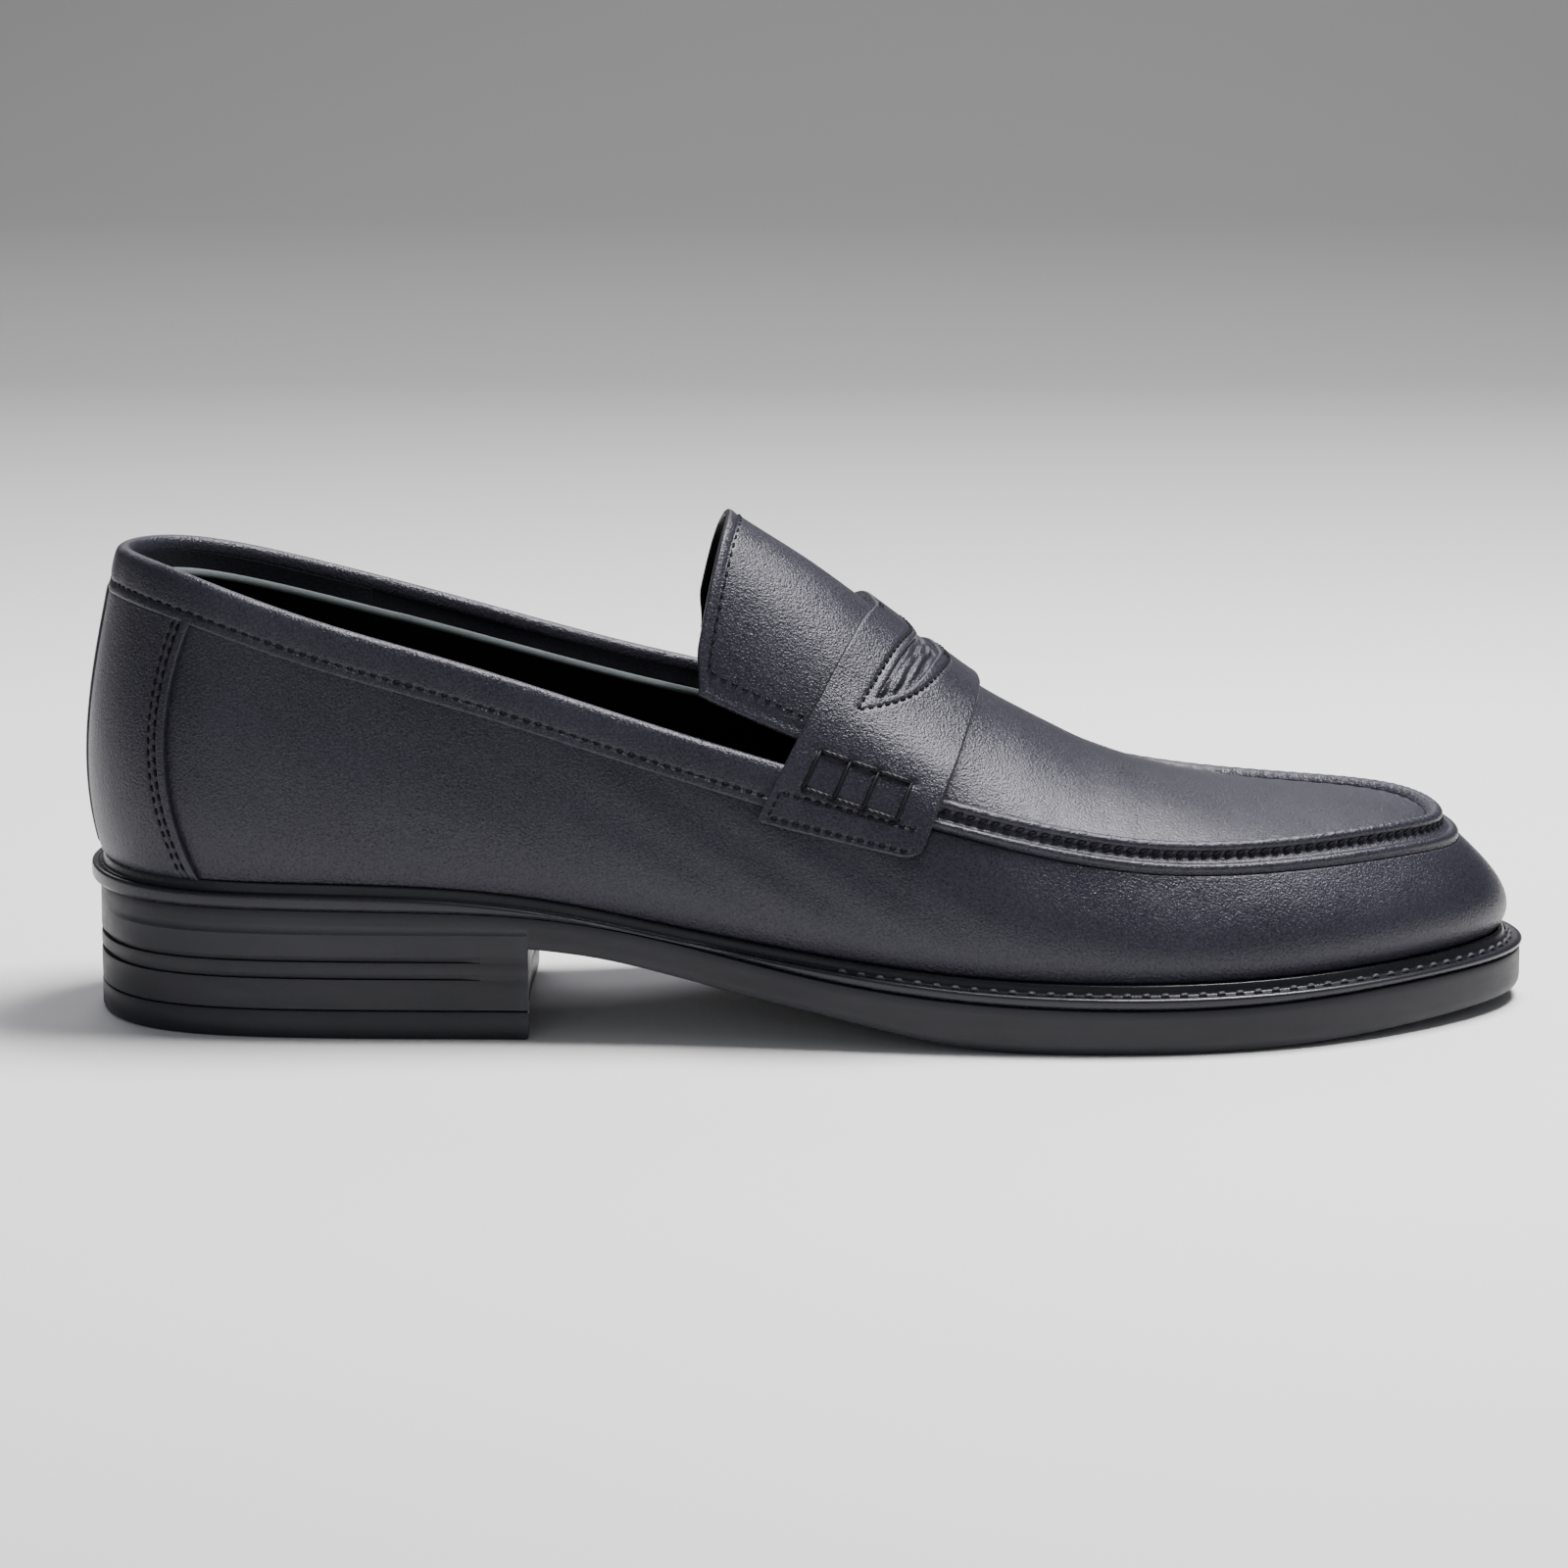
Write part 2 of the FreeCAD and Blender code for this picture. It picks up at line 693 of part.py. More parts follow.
def apron_sheet(layer, gap, rear, front):
    grids = []
    for d in layer:
        grid = []
        for s in steps(rear, front, 25):
            edge = apron_across(s, gap)
            grid.append([cap_off(s, edge * f, d) for f in steps(-1, 1, 13)])
        grids.append(grid)
    return solid_between(grids[0], grids[1])


def apron():
    return apron_sheet(APRON_LAYER, APRON_GAP, APRON_REAR, APRON_FRONT)


def apron_lining():
    return apron_sheet(APRON_LINING_LAYER, APRON_LINING_GAP, *APRON_LINING_ENDS)


def cap_station(x):
    """Station of the arch at a given x, in the part that the tongue and strap cover."""
    return CAP_STATION + x / CAP_STATION_LENGTH


def tongue_rear(across):
    return TONGUE_APEX - TONGUE_SWEEP * abs(across / TONGUE_SIDE) ** TONGUE_BOW


def tongue_sheet(layer, side, rear_gap=0.0):
    grids = []
    for d in layer:
        grid = []
        for f in steps(-1, 1, 17):
            rear = cap_station(tongue_rear(f * side) + rear_gap)
            reach = steps(rear, TONGUE_FRONT, 11)
            grid.append([cap_off(s, f * (side + TONGUE_FLARE * (s - rear)), -d) for s in reach])
        grids.append(grid)
    return solid_between(grids[0], grids[1])


def tongue():
    return tongue_sheet(TONGUE_LAYER, TONGUE_SIDE)


def tongue_lining():
    side = TONGUE_SIDE - TONGUE_LINING_INSET
    return tongue_sheet(TONGUE_LINING_LAYER, side, rear_gap=TONGUE_LINING_GAP)


def tongue_seam_point(f, lift):
    """Along the seam: down the lateral side, over the top and down the medial side."""
    across = f * (TONGUE_SIDE - TONGUE_SEAM_INSET)
    return cap_off(cap_station(tongue_rear(across) + TONGUE_SEAM), across, lift)


def tongue_stitching():
    along_crown = vector(CROWN_NORMAL[2], 0, -CROWN_NORMAL[0])
    grids = []
    for lift in TONGUE_SEAM_LIFTS:
        grid = []
        for f in steps(-1, 1, 25):
            point = tongue_seam_point(f, lift)
            grid.append([point + along_crown * w for w in (-TONGUE_SEAM_HALF, TONGUE_SEAM_HALF)])
        grids.append(grid)
    return solid_between(grids[0], grids[1])


# ---- strap ------------------------------------------------------------------

def section(x, side):
    """Half section of the shoe at x, from the crown down one side, as (y, z) points."""
    station = side * cap_station(x)
    points = [cap_point(cap_station(x), -side * a) for a in SECTION_ACROSS]
    points += [wall_point(station, r) for r in SECTION_RISES]
    return [(p.y, p.z) for p in points]


def section_at(x, side, distance):
    """Point on the half section at a distance from the crown, with its outward direction."""
    points = section(x, side)
    lengths = [0.0]
    for a, b in zip(points, points[1:]):
        lengths.append(lengths[-1] + math.hypot(b[0] - a[0], b[1] - a[1]))
    y_at = line_spline([(s, p[0]) for s, p in zip(lengths, points)])
    z_at = line_spline([(s, p[1]) for s, p in zip(lengths, points)])
    step = 0.2
    dy = y_at(distance + step) - y_at(abs(distance - step))
    dz = z_at(distance + step) - z_at(abs(distance - step))
    if distance < step:
        dy, dz = -side, 0.0
    length = math.hypot(dy, dz)
    normal = (abs(dz) / length * -side, abs(dy) / length)
    return (y_at(distance), z_at(distance)), normal, lengths[len(SECTION_ACROSS)]


def strap_point(f, w, lift):
    """f runs from the lateral end (-1) over the crown to the medial end (+1), w from the
    rear edge (0) to the front edge (1)."""
    side = 1 if f <= 0 else -1
    q = abs(f)
    rear = STRAP_REAR[0] + STRAP_REAR[1] * q ** STRAP_REAR_BOW
    front = STRAP_FRONT[0] + STRAP_FRONT[1] * q ** STRAP_FRONT_BOW
    x = rear + (front - rear) * w
    edge = section_at(x, side, 1.0)[2] + STRAP_DROP[0] + STRAP_DROP[1] * w
    (y, z), (ny, nz), _ = section_at(x, side, q * edge)
    slope = (crown_z(x + 1) - crown_z(x - 1)) / 2 * (1 - q) ** STRAP_LEAN_FADE
    normal = vector(-slope * nz, ny, nz)
    normal.normalize()
    return vector(x, y, z) + normal * lift


def strap_sheet(layer, f0, f1, w0, w1, count=25, rows=7):
    grids = [[[strap_point(f, w, d) for w in steps(w0, w1, rows)] for f in steps(f0, f1, count)]
             for d in layer]
    return solid_between(grids[0], grids[1])


def slot_tool():
    """Half-moon through the crown of the strap, its straight edge behind."""
    normal = vector(*CROWN_NORMAL)
    forward = vector(0, 1, 0).cross(normal)
    foot = vector(*SLOT_PLACE) - normal * SLOT_REACH

    def at(across, ahead):
        return foot + vector(0, across * SLOT_HALF, 0) + forward * (ahead * SLOT_DEPTH)

    bow = Part.BSplineCurve()
    bow.interpolate(Points=[at(across, ahead) for across, ahead in SLOT_BOW])
    straight = Part.makeLine(at(1, 0), at(-1, 0))
    return Part.Face(Part.Wire([bow.toShape(), straight])).extrude(normal * 2 * SLOT_REACH)


def strap():
    return strap_sheet(STRAP_LAYER, -1, 1, 0, 1, count=41).cut(slot_tool())


def slot_underlay():
    return strap_sheet(UNDERLAY, -UNDERLAY_HALF, UNDERLAY_HALF, *UNDERLAY_EDGES)


def slot_seam(depth, half):
    """One row of thread beside the slot: straight behind it, bowed round it in front."""
    grids = []
    for d in STRAP_THREAD:
        grid = []
        for f in steps(-half, half, 33):
            w = SLOT_SEAM_REAR + SLOT_SEAM_SLANT * abs(f) + depth * (1 - (f / SLOT_SEAM_HALF) ** 4)
            grid.append([strap_point(f, w, d), strap_point(f, w + SLOT_SEAM_WIDTH, d)])
        grids.append(grid)
    return solid_between(grids[0], grids[1])


def slot_stitching():
    """Two rows of thread that frame the slot, the front one ending just short of the rear one."""
    return [slot_seam(0, SLOT_SEAM_HALF), slot_seam(SLOT_SEAM_DEPTH, SLOT_SEAM_HALF - SLOT_SEAM_STOP)]


def strap_end_stitching(side):
    """Two rows of thread across the end of the strap."""
    low, high = END_SEAM_EDGES
    return [strap_sheet(STRAP_THREAD, side * f, side * (f + END_SEAM_WIDTH), low, high, rows=9, count=3)
            for f in END_SEAM_ROWS]


def strap_lacing(side):
    """Thick cord sewn through the strap as a ladder: two rails and four rungs."""
    upper, lower = LACE_RAILS
    first, last = upper + LACE_WIDTH + LACE_GAP, lower - LACE_GAP
    rails = [strap_sheet(STRAP_CORD, side * f, side * (f + LACE_WIDTH), *LACE_RAIL_EDGES, rows=7, count=3)
             for f in LACE_RAILS]
    rungs = [strap_sheet(STRAP_CORD, side * first, side * last, w, w + LACE_RUNG_WIDTH, rows=3, count=5)
             for w in LACE_RUNGS]
    return rails + rungs


NODES = {
    "heel_top_lift": heel_top_lift,
    "outsole": outsole,
    "welt": welt,
    "welt_stitching": welt_stitching,
    "shank": shank,
    "bottom_filler": bottom_filler,
    "insole_board": insole_board,
    "heel_pad": heel_pad,
    "forefoot_sock": forefoot_sock,
    "heel_sock": heel_sock,
    "side_wall": side_wall,
    "heel_back_piece": heel_back_piece,
    "back_seam_strip": back_seam_strip,
    "back_piece_stitching_lateral": lambda: back_piece_stitching(1),
    "back_piece_stitching_medial": lambda: back_piece_stitching(-1),
    "topline_binding": topline_binding,
    "topline_stitching": topline_stitching,
    "collar_padding_lateral": lambda: collar_padding(1),
    "collar_padding_medial": lambda: collar_padding(-1),
    "quarter_lining_lateral": lambda: quarter_lining(1),
    "quarter_lining_medial": lambda: quarter_lining(-1),
    "heel_grip": heel_grip,
    "heel_counter": heel_counter,
    "vamp_lining": vamp_lining,
    "toe_puff": toe_puff,
    "lining_edge_tape": lining_edge_tape,
    "apron": apron,
    "apron_lining": apron_lining,
    "apron_roll": apron_roll,
    "apron_stitching": apron_stitching,
    "tongue": tongue,
    "tongue_lining": tongue_lining,
    "tongue_stitching": tongue_stitching,
    "strap": strap,
    "slot_underlay": slot_underlay,
    "slot_stitching": slot_stitching,
    "strap_end_stitching_lateral": lambda: strap_end_stitching(-1),
    "strap_end_stitching_medial": lambda: strap_end_stitching(1),
    "strap_lacing_lateral": lambda: strap_lacing(-1),
    "strap_lacing_medial": lambda: strap_lacing(1),
}

os.makedirs("parts", exist_ok=True)
for name, build in NODES.items():
    shape = build()
    if isinstance(shape, list):
        shape = Part.makeCompound(shape)
    box = shape.BoundBox
    print(name, shape.isValid(), len(shape.Solids), round(shape.Volume), "x", round(box.XMin, 1),
          round(box.XMax, 1), "y", round(box.YMin, 1), round(box.YMax, 1), "z", round(box.ZMin, 1),
          round(box.ZMax, 1))
    shape.exportStep("parts/" + name + ".step")
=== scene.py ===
import math
import bmesh
import bpy
import numpy as np
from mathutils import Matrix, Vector


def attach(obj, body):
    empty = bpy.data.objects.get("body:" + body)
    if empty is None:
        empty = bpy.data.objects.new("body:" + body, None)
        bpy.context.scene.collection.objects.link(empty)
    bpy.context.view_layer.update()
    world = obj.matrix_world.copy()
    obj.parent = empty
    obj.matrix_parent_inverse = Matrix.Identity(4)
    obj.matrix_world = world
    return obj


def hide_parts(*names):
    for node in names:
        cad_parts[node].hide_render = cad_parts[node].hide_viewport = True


# Looks of the penny loafer. Lengths in this script are millimetres until a mesh is made.
# Stations run round the shoe: 0 is the back of the heel, 10 the tip of the toe, 1 to 9 the
# lateral side and 11 to 19 the medial side. Rise is 0 at the welt and 1 at the wall's top.

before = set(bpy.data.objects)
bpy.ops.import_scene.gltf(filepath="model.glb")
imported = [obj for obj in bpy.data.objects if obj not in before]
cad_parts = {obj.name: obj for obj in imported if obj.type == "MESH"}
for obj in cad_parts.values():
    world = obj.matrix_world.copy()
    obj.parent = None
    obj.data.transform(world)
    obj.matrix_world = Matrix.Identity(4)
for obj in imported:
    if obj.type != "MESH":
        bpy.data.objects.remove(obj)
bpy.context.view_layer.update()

MM = 0.001
STATIONS = 20
LATERAL, MEDIAL = 1, -1
SIDES = (LATERAL, "lateral"), (MEDIAL, "medial")

FEATHER = [
    (-146.3, -1.5), (-136, -25.5), (-108, -34), (-72, -35), (-36, -36),
    (0, -39.5), (36, -44), (70, -45), (103, -37), (131, -18.5),
    (144.5, 3.5), (134, 26.5), (107, 40), (71, 45.5), (35, 43),
    (0, 34.5), (-36, 29), (-72, 28.5), (-108, 30), (-136, 22.5),
]
TOP = [
    (-142.3, -1.5, 97.3), (-131, -23, 96), (-103, -29.8, 86.8), (-70, -30.5, 77), (-36, -32.5, 66.3),
    (0, -36, 55.8), (36, -38.8, 46), (70, -37, 39.3), (100, -29, 38.3), (123, -14.5, 38.3),
    (133.5, 2.5, 37.6), (126, 19.5, 39.4), (102, 30.5, 40), (70, 37, 42.3), (36, 35.5, 51),
    (0, 30.5, 61.5), (-36, 27.5, 70.3), (-70, 26, 79.8), (-103, 25, 88.8), (-130, 18.5, 95.3),
]
BELLY = [4, 4, 3.2, 2.5, 2.5, 3, 3.5, 4, 4.6, 5.4, 6, 5.6, 5, 4.2, 3.6, 3, 2.5, 2.5, 3.2, 4]
BELLY_LOW = 1.0
SOLE_EDGE = [3.8, 3.4, 3.4, 3.8, 4.4, 5.2, 6, 6.3, 6.3, 6.1, 6.2, 6, 6.2, 6, 5, 4.2, 3.6, 3.4, 3.3, 3.4]
WELT_TOP = [(-150, 33.4), (-120, 32.7), (-88, 32.2), (-58, 29.8), (-30, 24.6), (0, 19.2),
            (30, 15.4), (60, 14.1), (90, 14.1), (120, 14.7), (150, 15.2)]
SOLE_TOP = [(-150, 27.5), (-118, 27.4), (-85, 27.1), (-60, 26.2), (-30, 21.9), (0, 15.2),
            (26, 11.4), (55, 9.8), (90, 9.8), (122, 11), (150, 11.2)]
SOLE_BOTTOM = [(-57, 18.9), (-44, 17.4), (-30, 14.6), (-12, 10.3), (6, 6.3), (26, 2),
               (42, 0.35), (60, 0.05), (78, 0.05), (100, 0.6), (125, 1.9), (151, 3.2)]
CROWN = [(-28, 112), (-20, 107), (-12, 101.7), (0, 93.8), (12, 84.8), (24, 75.4), (36, 66.2),
         (48, 59.1), (57, 54.3), (66, 50.8), (80, 46.9), (95, 43.8), (115, 41.5), (133.5, 38.8)]
ARCH_POWER = 2.1
NORMAL_STEP = 0.01
HARD_ANGLE, USUAL_ANGLE, SOFT_ANGLE = 32, 38, 60  # degrees from which an edge is shaded sharp

HEEL_BREAST = -57.5
BREAST_HOLLOW = 0.9
TOP_LIFT = 6.0
GROOVES = (12.6, 16.2)
GROOVE_WIDTH = 1.2
GROOVE_DEPTH = 0.9
GROOVE_FRONT = -68.0
HEEL_JOIN = 22.0
HEEL_INSET = 1.8
FOREPART_INSET = 0.4
BLEND_LENGTH = 50.0

BINDING_WIDTH = 9.0
BINDING_END = 5.15
BINDING_SEAM = 6.9
SEAM_REAR = 5.4
LINING_DEPTH = 4.5
LINING_NEAR_TOP = 2.2
LINING_TOP = 2.1
STITCH = 2.5
WELT_STITCH = 3.9
SEAM_STITCH = 2.6

TONGUE_APEX = -16.0
TONGUE_SWEEP = 8.0
TONGUE_SIDE = 0.9
TONGUE_FRONT = 5.38
STRAP_REAR = (13.2, -23.8)
STRAP_FRONT = (35.0, -12.5)
STRAP_DROP = (10.2, -1.2)


# ---- curves and surfaces ----------------------------------------------------

class Ring:
    """Smooth closed curve through one value, or one point, per station."""

    def __init__(self, values):
        values = np.array(values, float)
        n = len(values)
        matrix = np.eye(n) * 4 / 6 + (np.roll(np.eye(n), 1, 0) + np.roll(np.eye(n), -1, 0)) / 6
        self.c = np.linalg.solve(matrix, values)

    def __call__(self, station):
        u = np.asarray(station, float)
        whole = np.floor(u).astype(int)
        t = u - whole
        weights = ((1 - t) ** 3 / 6, (3 * t ** 3 - 6 * t ** 2 + 4) / 6,
                   (-3 * t ** 3 + 3 * t ** 2 + 3 * t + 1) / 6, t ** 3 / 6)
        out = 0
        for k, w in enumerate(weights):
            c = self.c[(whole + k - 1) % len(self.c)]
            out = out + (w[..., None] * c if c.ndim > w.ndim else w * c)
        return out


class Line:
    """Natural cubic curve through (x, z) points, flat beyond its ends."""

    def __init__(self, points):
        self.x, self.z = np.array(points, float).T
        n = len(self.x)
        h = np.diff(self.x)
        matrix = np.eye(n)
        right = np.zeros(n)
        for i in range(1, n - 1):
            matrix[i, i - 1:i + 2] = h[i - 1], 2 * (h[i - 1] + h[i]), h[i]
            right[i] = 6 * ((self.z[i + 1] - self.z[i]) / h[i] - (self.z[i] - self.z[i - 1]) / h[i - 1])
        self.bend = np.linalg.solve(matrix, right)

    def __call__(self, x):
        x = np.clip(x, self.x[0], self.x[-1])
        i = np.clip(np.searchsorted(self.x, x) - 1, 0, len(self.x) - 2)
        h = self.x[i + 1] - self.x[i]
        a = (self.x[i + 1] - x) / h
        b = (x - self.x[i]) / h
        curve = ((a ** 3 - a) * self.bend[i] + (b ** 3 - b) * self.bend[i + 1]) * h * h / 6
        return a * self.z[i] + b * self.z[i + 1] + curve


feather = Ring(FEATHER)
top = Ring(TOP)
belly = Ring(BELLY)
sole_edge = Ring(SOLE_EDGE)
welt_top = Line(WELT_TOP)
sole_top = Line(SOLE_TOP)
sole_bottom = Line(SOLE_BOTTOM)
crown_z = Line(CROWN)


def pair(a, b):
    """Two numbers or arrays as float arrays of one shape."""
    return np.broadcast_arrays(np.asarray(a, float), np.asarray(b, float))


def unit(v):
    return v / np.maximum(np.linalg.norm(v, axis=-1, keepdims=True), 1e-9)


def smooth(x):
    x = np.clip(x, 0, 1)
    return x * x * (3 - 2 * x)


def plan_point(station):
    """Feather line as points at height 0."""
    plan = feather(station)
    return np.concatenate([plan, 0 * plan[..., :1]], -1)


def outward(station):
    """Level direction out of the shoe, square to the feather line."""
    station = np.asarray(station, float)
    way = feather(station + 0.001) - feather(station - 0.001)
    return unit(np.stack([way[..., 1], -way[..., 0], 0 * way[..., 0]], -1))


def wall(station, rise):
    station, rise = pair(station, rise)
    plan = feather(station)
    low = np.concatenate([plan, (welt_top(plan[..., 0]) - 0.9)[..., None]], -1)
    swell = belly(station) * 4 * rise * (1 - rise) * (1 + BELLY_LOW * (0.5 - rise))
    rise = rise[..., None]
    return low * (1 - rise) + top(station) * rise + outward(station) * swell[..., None]


def wall_height(station):
    return np.linalg.norm(wall(station, 1) - wall(station, 0), axis=-1)


def below_top(station, distance):
    """Rise at a distance below the top of the wall."""
    return 1 - distance / wall_height(station)


def wall_down(station, distance):
    """The wall again, by distance below its top."""
    return wall(station, below_top(station, distance))


def cap(station, across):
    """The arch over the instep, from the lateral wall top (-1) to the medial one (+1)."""
    station, across = pair(station, across)
    lateral = top(station)
    medial = top(-station)
    side = ((1 + across) / 2)[..., None]
    point = lateral * (1 - side) + medial * side
    middle = (lateral + medial) / 2
    rise = crown_z(middle[..., 0]) - middle[..., 2]
    point[..., 2] += rise * (1 - np.abs(across) ** ARCH_POWER)
    return point


def seam_inward(station):
    """Level direction from the apron seam into the apron, square to the seam."""
    station = np.asarray(station, float)
    way = top(station + 0.02) - top(station - 0.02)
    return unit(np.stack([-way[..., 1], way[..., 0], 0 * way[..., 0]], -1))


APRON_INSET = 3.8
APRON_LIFT = 1.35


def apron_edge(station):
    edge = top(station) + seam_inward(station) * APRON_INSET
    edge[..., 2] += APRON_LIFT
    return edge


def apron_surface(station, across):
    station, across = pair(station, across)
    lateral = apron_edge(station)
    medial = apron_edge(-station)
    side = ((1 + across) / 2)[..., None]
    point = lateral * (1 - side) + medial * side
    middle = (lateral + medial) / 2
    width = np.linalg.norm(lateral - medial, axis=-1)
    rise = (crown_z(middle[..., 0]) - middle[..., 2]) * smooth(width / 24)
    point[..., 2] += rise * (1 - np.abs(across) ** ARCH_POWER)
    return point


def normals(surface, a, b):
    along_a = surface(a + NORMAL_STEP, b) - surface(a - NORMAL_STEP, b)
    along_b = surface(a, b + NORMAL_STEP) - surface(a, b - NORMAL_STEP)
    return unit(np.cross(along_a, along_b))


# ---- mesh makers ------------------------------------------------------------

def mesh_object(name, vertices, faces, material, angle=USUAL_ANGLE):
    mesh = bpy.data.meshes.new(name)
    mesh.from_pydata((np.asarray(vertices).reshape(-1, 3) * MM).tolist(), [], faces)
    mesh.validate()
    mesh.materials.append(material)
    mesh.shade_smooth()
    mesh.set_sharp_from_angle(angle=math.radians(angle))
    obj = bpy.data.objects.new(name, mesh)
    bpy.context.scene.collection.objects.link(obj)
    return obj


def grid_faces(rows, columns, first=0, close_rows=False, close_columns=False, flip=False):
    i = np.arange(rows if close_rows else rows - 1)
    j = np.arange(columns if close_columns else columns - 1)
    i, j = np.meshgrid(i, j, indexing="ij")
    i2 = (i + 1) % rows
    j2 = (j + 1) % columns
    quads = np.stack([i * columns + j, i2 * columns + j, i2 * columns + j2, i * columns + j2], -1)
    quads = quads.reshape(-1, 4) + first
    return (quads[:, ::-1] if flip else quads).tolist()


def closed_panel(name, outer, inner, material, angle=USUAL_ANGLE):
    """Closed skin between two matching grids of points."""
    rows, columns = outer.shape[:2]
    count = rows * columns
    faces = grid_faces(rows, columns) + grid_faces(rows, columns, count, flip=True)
    border = [(i, 0) for i in range(rows)] + [(rows - 1, j) for j in range(1, columns)]
    border += [(i, columns - 1) for i in range(rows - 2, -1, -1)]
    border += [(0, j) for j in range(columns - 2, 0, -1)]
    ids = [i * columns + j for i, j in border]
    for a, b in zip(ids, ids[1:] + ids[:1]):
        faces.append([b, a, a + count, b + count])
    vertices = np.concatenate([outer.reshape(-1, 3), inner.reshape(-1, 3)])
    return mesh_object(name, vertices, faces, material, angle)


def distance_along(points, axis=0):
    """Distance run from the first point of a line, or of every line of a grid."""
    steps = np.linalg.norm(np.diff(points, axis=axis), axis=-1)
    pad = np.zeros_like(np.take(steps, [0], axis))
    return np.concatenate([pad, np.cumsum(steps, axis)], axis)


def from_sides(run, axis):
    """Distance to the nearer end of each line."""
    return np.minimum(run, np.take(run, [-1], axis) - run)


def edge_distance(points):
    """Distance from every grid point to the nearest side of its grid."""
    return np.minimum(*[from_sides(distance_along(points, axis), axis) for axis in (0, 1)])


def crowned(distance, radius):
    """Height of a rounded edge, below the face it runs into, at a distance from the cut."""
    inside = np.minimum(distance, radius)
    return np.sqrt(np.maximum(radius ** 2 - (radius - inside) ** 2, 0)) - radius


def panel(name, surface, a, b, lift, thick, material, round_edge, relief=0):
    """A piece of leather on a surface: crowned cut edges, a closed back and optional relief."""
    base = surface(a, b)
    normal = normals(surface, a, b)
    height = lift + crowned(edge_distance(base), round_edge) + relief
    outer = base + normal * height[..., None]
    inner = base + normal * (lift - thick)
    return closed_panel(name, outer, inner, material)


def fine(start, end, count, centres=(), spread=0.5, edge=0.0):
    """Steps from start to end, with extra ones beside each centre and at both ends."""
    values = list(np.linspace(start, end, count))
    for c in centres:
        values += [c + spread * f for f in (-2, -1.3, -0.7, -0.3, 0, 0.3, 0.7, 1.3, 2)]
    if edge:
        for f in (0.04, 0.15, 0.35, 0.65, 1.0):
            values += [start + (end - start) / abs(end - start) * edge * f,
                       end - (end - start) / abs(end - start) * edge * f]
    low, high = min(start, end), max(start, end)
    values = sorted(v for v in set(np.round(values, 5)) if low <= v <= high)
    kept = [values[0]]
    for v in values[1:]:
        if v - kept[-1] > (high - low) * 1e-4:
            kept.append(v)
    kept[-1] = high
    return np.array(kept if start < end else kept[::-1])


def caps(rows, columns, first=0):
    """End faces of a skin through rows of closed sections."""
    last = first + (rows - 1) * columns
    return [list(range(first, first + columns)), list(range(last, last + columns))[::-1]]


def capped_skin(rings, first=0, flip=False):
    """Faces through rows of closed sections, with both end faces."""
    rows, columns = rings.shape[:2]
    return grid_faces(rows, columns, first, close_columns=True, flip=flip) + caps(rows, columns, first)


def ribbon(name, sections, material, closed=False):
    """Skin through closed sections (n, m, 3), capped at its ends unless it closes on itself."""
    if closed:
        faces = grid_faces(*sections.shape[:2], close_rows=True, close_columns=True)
    else:
        faces = capped_skin(sections)
    return mesh_object(name, sections, faces, material, SOFT_ANGLE)


def grid(a, b):
    """Every value of a with every value of b."""
    return np.meshgrid(a, b, indexing="ij")


def rounded(points):
    """Closed section with its corners cut twice, for a soft outline."""
    points = np.asarray(points, float)
    for _ in range(2):
        after = np.roll(points, -1, 0)
        cut = np.stack([points * 0.75 + after * 0.25, points * 0.25 + after * 0.75], 1)
        points = cut.reshape(-1, *points.shape[1:])
    return points


def evenly(points, pitch, *others):
    """Points at an even pitch along a line, with matching values of other arrays."""
    run = distance_along(points)
    count = max(2, int(round(run[-1] / pitch)) + 1)
    want = np.linspace(0, run[-1], count)
    out = []
    for values in (points,) + others:
        out.append(np.stack([np.interp(want, run, values[:, k]) for k in range(values.shape[1])], -1))
    return out


def capsule_ring(length, radius):
    """Unit stitch along x: thick in the middle, dipping into the leather at both ends."""
    rows = sides = 7
    x = np.linspace(-1, 1, rows)
    r = radius * np.sqrt(np.clip(1 - np.abs(x) ** 5, 0.02, 1))
    z = radius * 0.55 - radius * 1.5 * np.abs(x) ** 4
    angle = np.arange(sides) / sides * 2 * np.pi
    points = np.zeros((rows, sides, 3))
    points[..., 0] = (x * length / 2)[:, None]
    points[..., 1] = r[:, None] * np.cos(angle)
    points[..., 2] = z[:, None] + r[:, None] * 0.85 * np.sin(angle)
    return points


def stitch_row(points, normal, pitch, length, radius, tilt):
    """Vertices and faces of separate stitches along a line on a surface."""
    spots, ups = evenly(points, pitch, normal)
    unit_stitch = capsule_ring(length, radius)
    vertices, faces = [], []
    for i in range(len(spots) - 1):
        middle = (spots[i] + spots[i + 1]) / 2
        up = unit(ups[i] + ups[i + 1])
        along = unit(spots[i + 1] - spots[i])
        side = np.cross(up, along)
        along, side = (along * math.cos(tilt) + side * math.sin(tilt),
                       side * math.cos(tilt) - along * math.sin(tilt))
        place = unit_stitch @ np.stack([along, side, up]) + middle
        first = sum(len(v) for v in vertices)
        vertices.append(place.reshape(-1, 3))
        faces += capped_skin(unit_stitch, first, flip=True)
    return vertices, faces


def stitches(name, lines, pitch, length, radius, material, tilt=0.0):
    """One object of stitches along several lines, each a (points, normals) pair."""
    vertices, faces = [], []
    for points, normal in lines:
        more, loops = stitch_row(points, normal, pitch, length, radius, tilt)
        first = sum(len(v) for v in vertices)
        vertices += more
        faces += [[k + first for k in loop] for loop in loops]
    return mesh_object(name, np.concatenate(vertices), faces, material, SOFT_ANGLE)


def surface_line(surface, a, b, lift):
    """Line on a surface, with its outward directions."""
    a, b = pair(a, b)
    normal = normals(surface, a, b)
    return surface(a, b) + normal * lift, normal


